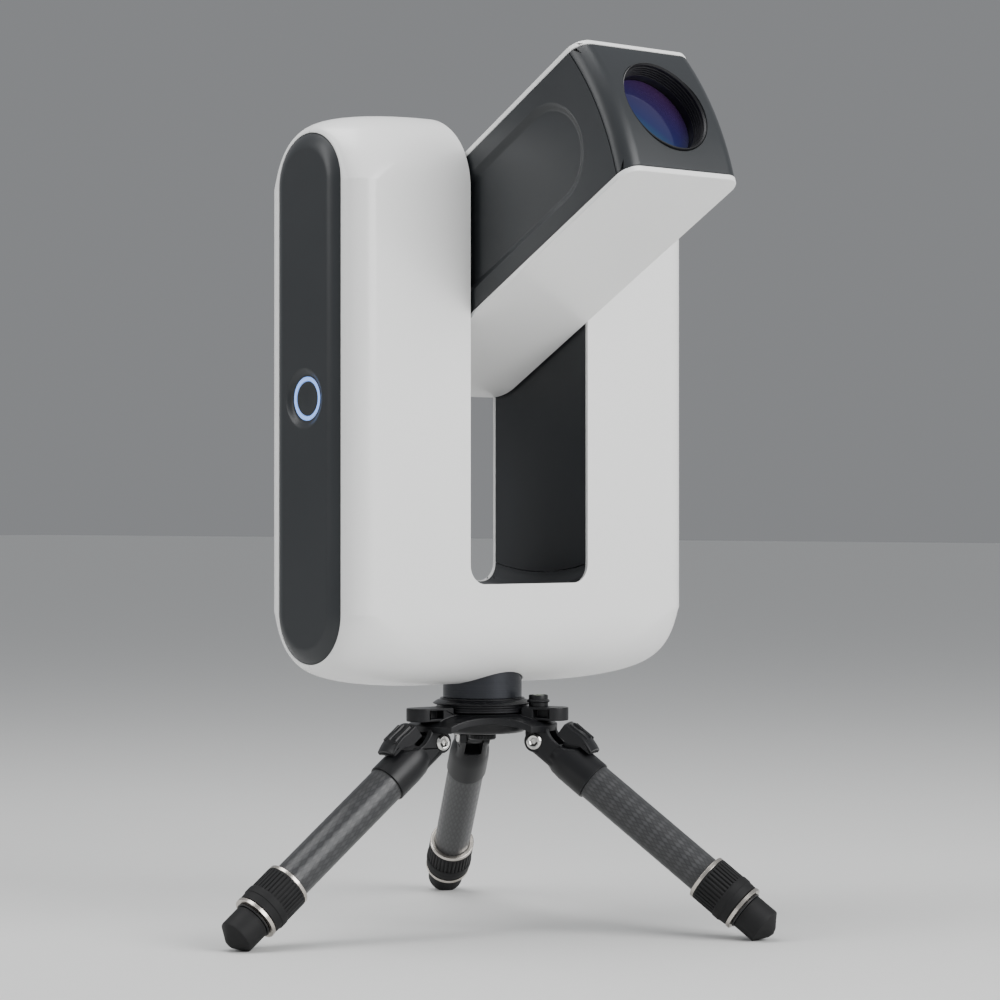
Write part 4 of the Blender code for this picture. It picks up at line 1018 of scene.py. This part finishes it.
def make_pivot_bolts():
    """The bolts that the legs swing on, with a hexagon socket at both ends."""
    reach = 0.0139
    for index in (1, 2, 3):
        origin = Vector(JOINTS[f"leg_fold_{index}"]["pos_m"])
        across = Vector(JOINTS[f"leg_fold_{index}"]["axis"])
        along = Vector(JOINTS[f"twist_lock_turn_{index}"]["axis"])
        turn = frame_of(origin, along, across)
        outline = [(0.0002, -reach - 0.0022), (0.0052, -reach - 0.0022), (0.0066, -reach - 0.0014),
                   (0.0071, -reach - 0.0005), (0.0071, -reach), (0.0040, -reach), (0.0040, reach),
                   (0.0071, reach), (0.0071, reach + 0.0005), (0.0066, reach + 0.0014),
                   (0.0052, reach + 0.0022), (0.0002, reach + 0.0022)]
        bolt = turned("bolt", outline, sides=64)
        for side in (-1, 1):
            socket = rod("socket", 0.0026, 0.004,
                         Matrix.Translation((0, 0, side * (reach + 0.0024))), 6)
            trim(bolt, "DIFFERENCE", socket)
        bolt.name = f"hinge_bolt_{index}"
        shade(bolt)
        finish_piece(place_in(bolt, turn), BOLT_STEEL, "root", "steel", f"pivot_bolt_{index}")


# -------------------------------- legs
def make_collar(index, matrix):
    """The leg's cast head: a yoke that sweeps down into a round socket for the tube."""
    drop = 0.0035                                      # pivot below the tube's axis
    collar = turned(
        f"leg_socket_{index}",
        [(0.0002, 0.0150), (0.0110, 0.0150), (0.0150, 0.0200), (0.0172, 0.0270), (0.0179, 0.0360),
         (0.0180, 0.0597), (0.0176, 0.0605), (0.0169, 0.0605), (0.0169, 0.0354), (0.0002, 0.0354)],
        sides=72,
    )
    yoke = block("yoke", (-0.0135, -0.0130, -0.0010), (0.0135, 0.0130, 0.0400))
    round_off(yoke, 0.0050, 4, lambda middle, way: abs(way.z) > 0.03)
    knuckle = rod("knuckle", 0.0095, 0.027, Matrix.Translation((0, -drop, 0)) @ ACROSS, 48)
    trim(collar, "UNION", yoke, knuckle)
    scoop = rod("scoop", 0.0225, 0.08, Matrix.Translation((0, 0.0300, 0.0160)) @ ACROSS, 96)
    trim(collar, "DIFFERENCE", scoop)
    slot = block("slot", (-0.0075, -0.04, -0.02), (0.0075, 0.04, 0.0185))
    hole = rod("hole", 0.0045, 0.06, Matrix.Translation((0, -drop, 0)) @ ACROSS, 32)
    trim(collar, "DIFFERENCE", slot, hole)
    soften(collar, 0.0007, 2, 50)
    finish_piece(place_in(collar, matrix), CAST, f"leg_{index}", "black_paint",
                 f"leg_collar_{index}")


def make_stop(index, matrix):
    """The ribbed, curved catch that lies on the yoke and stops the leg at its spread."""
    start, end = 0.0122, 0.0458
    low, high = 0.0188, 0.0252
    half = 0.0115
    tab = block(f"stop_tab_{index}", (-half, low, start), (half, high, end))
    edit(tab)
    bpy.ops.mesh.subdivide(number_cuts=9)
    stop_editing()
    middle = (start + end) / 2
    toe = 0.034                                        # the underside drops behind this height
    for vertex in tab.data.vertices:
        share = (vertex.co.z - middle) / (end - middle)
        crown = 1 - (vertex.co.x / half) ** 2
        if vertex.co.y > (low + high) / 2:
            vertex.co.y += 0.0026 * crown - 0.0042 * max(share, -0.4) ** 2 + 0.0008
        elif vertex.co.z < toe:
            vertex.co.y -= 0.0050 * min(1, (toe - vertex.co.z) / 0.008)
    for offset in (-0.0078, 0.0, 0.0078):
        crown = 1 - (offset / half) ** 2
        top = high + 0.0026 * crown + 0.0018
        rib = block("rib", (offset - 0.0011, low + 0.002, start + 0.0035),
                    (offset + 0.0011, top, end - 0.0100))
        round_off(rib, 0.0009, 2,
                  lambda place, way, t=top: abs(way.z) > 0.01 and place.y > t - 0.0001)
        trim(tab, "UNION", rib)
    soften(tab, 0.0006, 2, 50)
    finish_piece(place_in(tab, matrix), CAST, f"angle_stop_{index}", "black_paint",
                 f"angle_stop_{index}")


def make_latch(index, matrix):
    """The catch's dark bed on the yoke, and the small plate and screw under the yoke."""
    bed = block(f"latch_bed_{index}", (-0.0065, 0.0060, 0.0200), (0.0065, 0.0172, 0.0400))
    soften(bed, 0.0010, 2, 50)
    finish_piece(place_in(bed, matrix), CAST, f"leg_{index}", "black_paint")
    under = -0.0130
    plate = block(f"yoke_plate_{index}", (-0.0045, under - 0.0008, 0.0195),
                  (0.0045, under - 0.0001, 0.0225))
    soften(plate, 0.0002, 1, 50)
    finish_piece(place_in(plate, matrix), BOLT_STEEL, f"leg_{index}", "steel")
    screw = rod(f"yoke_screw_{index}", 0.0022, 0.0012,
                Matrix.Translation((0, under - 0.0008, 0.0290)) @ Matrix.Rotation(math.pi / 2, 4,
                                                                                  "X"), 32)
    soften(screw, 0.0004, 2, 50)
    finish_piece(place_in(screw, matrix), BOLT_STEEL, f"leg_{index}", "steel")


def leg_levels():
    """Heights down a leg of its tube end, twist lock and foot, from the frame's own pieces."""
    matrix = LEGS[1].inverted()
    spans = {}
    nodes = {"tube": "upper_tube_1", "lock": "twist_lock_1", "lower": "lower_section_1",
             "foot": "rubber_foot_1"}
    for label, node in nodes.items():
        places = [(matrix @ vertex.co).z for vertex in NODES[node].data.vertices]
        spans[label] = (min(places), max(places))
    return spans


def make_tube(index, matrix, spans):
    """A leg's carbon tube."""
    low, high = spans["tube"]
    tube = turned(
        f"carbon_tube_{index}",
        [(0.0165, low + 0.0003), (0.0165, high - 0.0003), (0.0162, high), (0.0147, high),
         (0.0147, low), (0.0162, low)],
        matrix, 96, ring=True,
    )
    carbon = carbon_finish(f"carbon_{index}", matrix)
    finish_piece(tube, carbon, f"leg_{index}", "carbon_tube", f"upper_tube_{index}")


def make_twist_lock(index, matrix, spans):
    """The ribbed grip with its bright upper ring. It gives the ring's metal back."""
    low, high = spans["lock"]
    metal = turned_finish(f"ring_metal_{index}", (0.62, 0.58, 0.53), 0.26, matrix, 0.00001)
    bore = 0.0169
    ring = turned(
        f"upper_ring_{index}",
        [(0.0200, low), (0.0207, low + 0.0006), (0.0207, low + 0.0035), (bore, low + 0.0035),
         (bore, low)],
        matrix, 96, ring=True, rounding=0.0002,
    )
    finish_piece(ring, metal, f"twist_lock_{index}", "bare_aluminium")
    ribbed = low + 0.0255
    toothed = low + 0.0322
    sides = 108
    lock = turned(
        f"lock_grip_{index}",
        [(bore, low + 0.0037), (0.0205, low + 0.0037), (0.0207, low + 0.0045),
         (0.0207, low + 0.0052),
         (0.0207, ribbed), (0.0212, ribbed + 0.0006), (0.0213, ribbed + 0.0020), (0.0213, toothed),
         (0.0207, toothed + 0.0006), (0.0202, high - 0.0006), (0.0192, high), (bore, high)],
        sides=sides, ring=True,
    )
    edit(lock)
    pick(lock, "FACE", lambda middle, way: (
        low + 0.0052 < middle.z < ribbed and middle.xy.length > 0.020
        and int((math.atan2(middle.y, middle.x) / (2 * math.pi) % 1) * sides) % 3 == 0
    ))
    bpy.ops.mesh.extrude_region_shrink_fatten(TRANSFORM_OT_shrink_fatten={"value": -0.0010})
    stop_editing()
    shade(lock, 30)
    finish_piece(place_in(lock, matrix), RUBBER, f"twist_lock_{index}", "black_rubber",
                 f"twist_lock_{index}")
    return metal


def make_lower_leg(index, matrix, spans, metal):
    """The inner tube with its bright ring, the dark sleeve below it and the pointed foot."""
    top = spans["lower"][0]
    ring_top = spans["lock"][1] + SEAM
    foot_top = spans["foot"][0]
    rod_radius = 0.0143
    lower = turned(
        f"inner_tube_{index}",
        [(rod_radius, top), (rod_radius, ring_top), (0.0204, ring_top), (0.0207, ring_top + 0.0003),
         (0.0207, ring_top + 0.0032), (0.0203, ring_top + 0.0035), (0.0002, ring_top + 0.0035),
         (0.0002, ring_top), (0.0128, ring_top), (0.0128, top)],
        matrix, 96, ring=True,
    )
    sleeve = turned(
        f"foot_sleeve_{index}",
        [(0.0002, ring_top + 0.0037), (0.0168, ring_top + 0.0037), (0.0172, ring_top + 0.0042),
         (0.0174, foot_top - SEAM - 0.0004), (0.0170, foot_top - SEAM), (0.0002, foot_top - SEAM)],
        matrix, 96,
    )
    finish_piece(sleeve, SLEEVE_BLACK, f"lower_leg_{index}", "black_paint")
    finish_piece(lower, metal, f"lower_leg_{index}", "bare_aluminium", f"lower_section_{index}")
    rim = foot_top + 0.0200
    foot = turned(
        f"foot_pad_{index}",
        [(0.0002, foot_top), (0.0158, foot_top), (0.0162, foot_top + 0.0004),
         (0.0162, rim - 0.0010),
         (0.0158, rim + 0.0004), (0.0100, rim + 0.0045), (0.0050, rim + 0.0082),
         (0.0002, rim + 0.0098)],
        matrix, 96,
    )
    floor = block("floor_cut", (-1, -1, -1), (1, 1, 0))
    trim(foot, "DIFFERENCE", floor)
    shade(foot)
    finish_piece(foot, RUBBER, f"lower_leg_{index}", "black_rubber", f"rubber_foot_{index}")


def make_legs():
    """The three legs."""
    spans = leg_levels()
    for index, matrix in LEGS.items():
        make_collar(index, matrix)
        make_stop(index, matrix)
        make_latch(index, matrix)
        make_tube(index, matrix, spans)
        metal = make_twist_lock(index, matrix, spans)
        make_lower_leg(index, matrix, spans, metal)


# -------------------------------- inner pieces kept from the frame
def dress_inner_pieces():
    """Materials for the CAD pieces that stay as they are."""
    looks = {
        DARK: ("slot_liner_left", "slot_liner_right"),
        BARE: ("head_frame", "focuser_drawtube"),
        STEEL: ("altitude_bearing_left", "altitude_bearing_right", "azimuth_bearing",
                "trunnion_left",
                "trunnion_right", "azimuth_motor", "altitude_motor"),
        BRASS: ("azimuth_gear", "altitude_gear", "azimuth_pinion", "altitude_pinion"),
        CAST: ("optical_tube", "camera_module"),
        BOARD: ("main_board",),
        WRAP: ("battery_pack",),
    }
    for material, names in looks.items():
        for name in names:
            NODES[name].data.materials.clear()
            NODES[name].data.materials.append(material)


# -------------------------------- floor, light and camera
def make_floor():
    """A wide plain floor."""
    bpy.ops.object.select_all(action="DESELECT")
    bpy.ops.mesh.primitive_plane_add(size=60, location=(0, 20, 0))
    floor = take_new("studio_floor")
    floor.data.materials.append(grained("floor_paper", (0.70, 0.70, 0.69), 0.80, 60.0, 0.0001,
                                        0.02))


def add_lamp(name, place, target, width, height, power):
    """A white softbox that faces a point."""
    lamp = bpy.data.lights.new(name, "AREA")
    lamp.shape = "RECTANGLE"
    lamp.size = width
    lamp.size_y = height
    lamp.energy = power
    obj = bpy.data.objects.new(name, lamp)
    obj.location = place
    obj.rotation_euler = (Vector(target) - Vector(place)).to_track_quat("-Z", "Y").to_euler()
    bpy.context.scene.collection.objects.link(obj)


def make_light():
    """The room's light, dimmer where the camera sees it directly, and three softboxes."""
    world = bpy.data.worlds.new("studio")
    world.use_nodes = True
    tree = world.node_tree
    background = tree.nodes["Background"]
    background.inputs["Color"].default_value = (0.80, 0.82, 0.85, 1)
    seen = tree.nodes.new("ShaderNodeLightPath").outputs["Is Camera Ray"]
    tree.links.new(calculation(tree, "MULTIPLY_ADD", seen, -0.20, 0.50),
                   background.inputs["Strength"])
    bpy.context.scene.world = world
    middle = (AZIMUTH.translation.x, AZIMUTH.translation.y, 0.45)
    add_lamp("front_softbox", (0.7, -2.7, 1.6), middle, 2.2, 2.0, 105)
    add_lamp("left_softbox", (-2.3, 0.9, 1.9), middle, 0.9, 2.0, 30)
    add_lamp("top_softbox", (-0.3, 0.2, 2.4), middle, 1.4, 1.4, 34)


def make_camera():
    """A long lens in front of the part's left corner, turned and raised slightly off its middle."""
    turn = math.radians(39.7)                          # the camera's place round the part
    distance = 2.62
    height = HEAD_BOTTOM + 0.1455
    heading = turn + math.radians(0.34)
    rise = math.radians(0.33)
    camera = bpy.data.cameras.new("camera")
    camera.lens = 107.1
    camera.sensor_width = 36
    obj = bpy.data.objects.new("camera", camera)
    centre = AZIMUTH.translation
    obj.location = (centre.x - distance * math.sin(turn), centre.y - distance * math.cos(turn),
                    height)
    look = Vector((math.sin(heading) * math.cos(rise), math.cos(heading) * math.cos(rise),
                   math.sin(rise)))
    obj.rotation_euler = look.to_track_quat("-Z", "Y").to_euler()
    bpy.context.scene.collection.objects.link(obj)
    bpy.context.scene.camera = obj


make_casing()
make_side_panels()
make_power_button()
make_slot_floor()
make_arm_plates()
make_side_covers()
make_lens_cap()
make_lens_barrel()
make_neck()
make_spider()
make_bubble_level()
make_clamp_screw()
make_pivot_bolts()
make_legs()
dress_inner_pieces()
make_floor()
make_light()
make_camera()
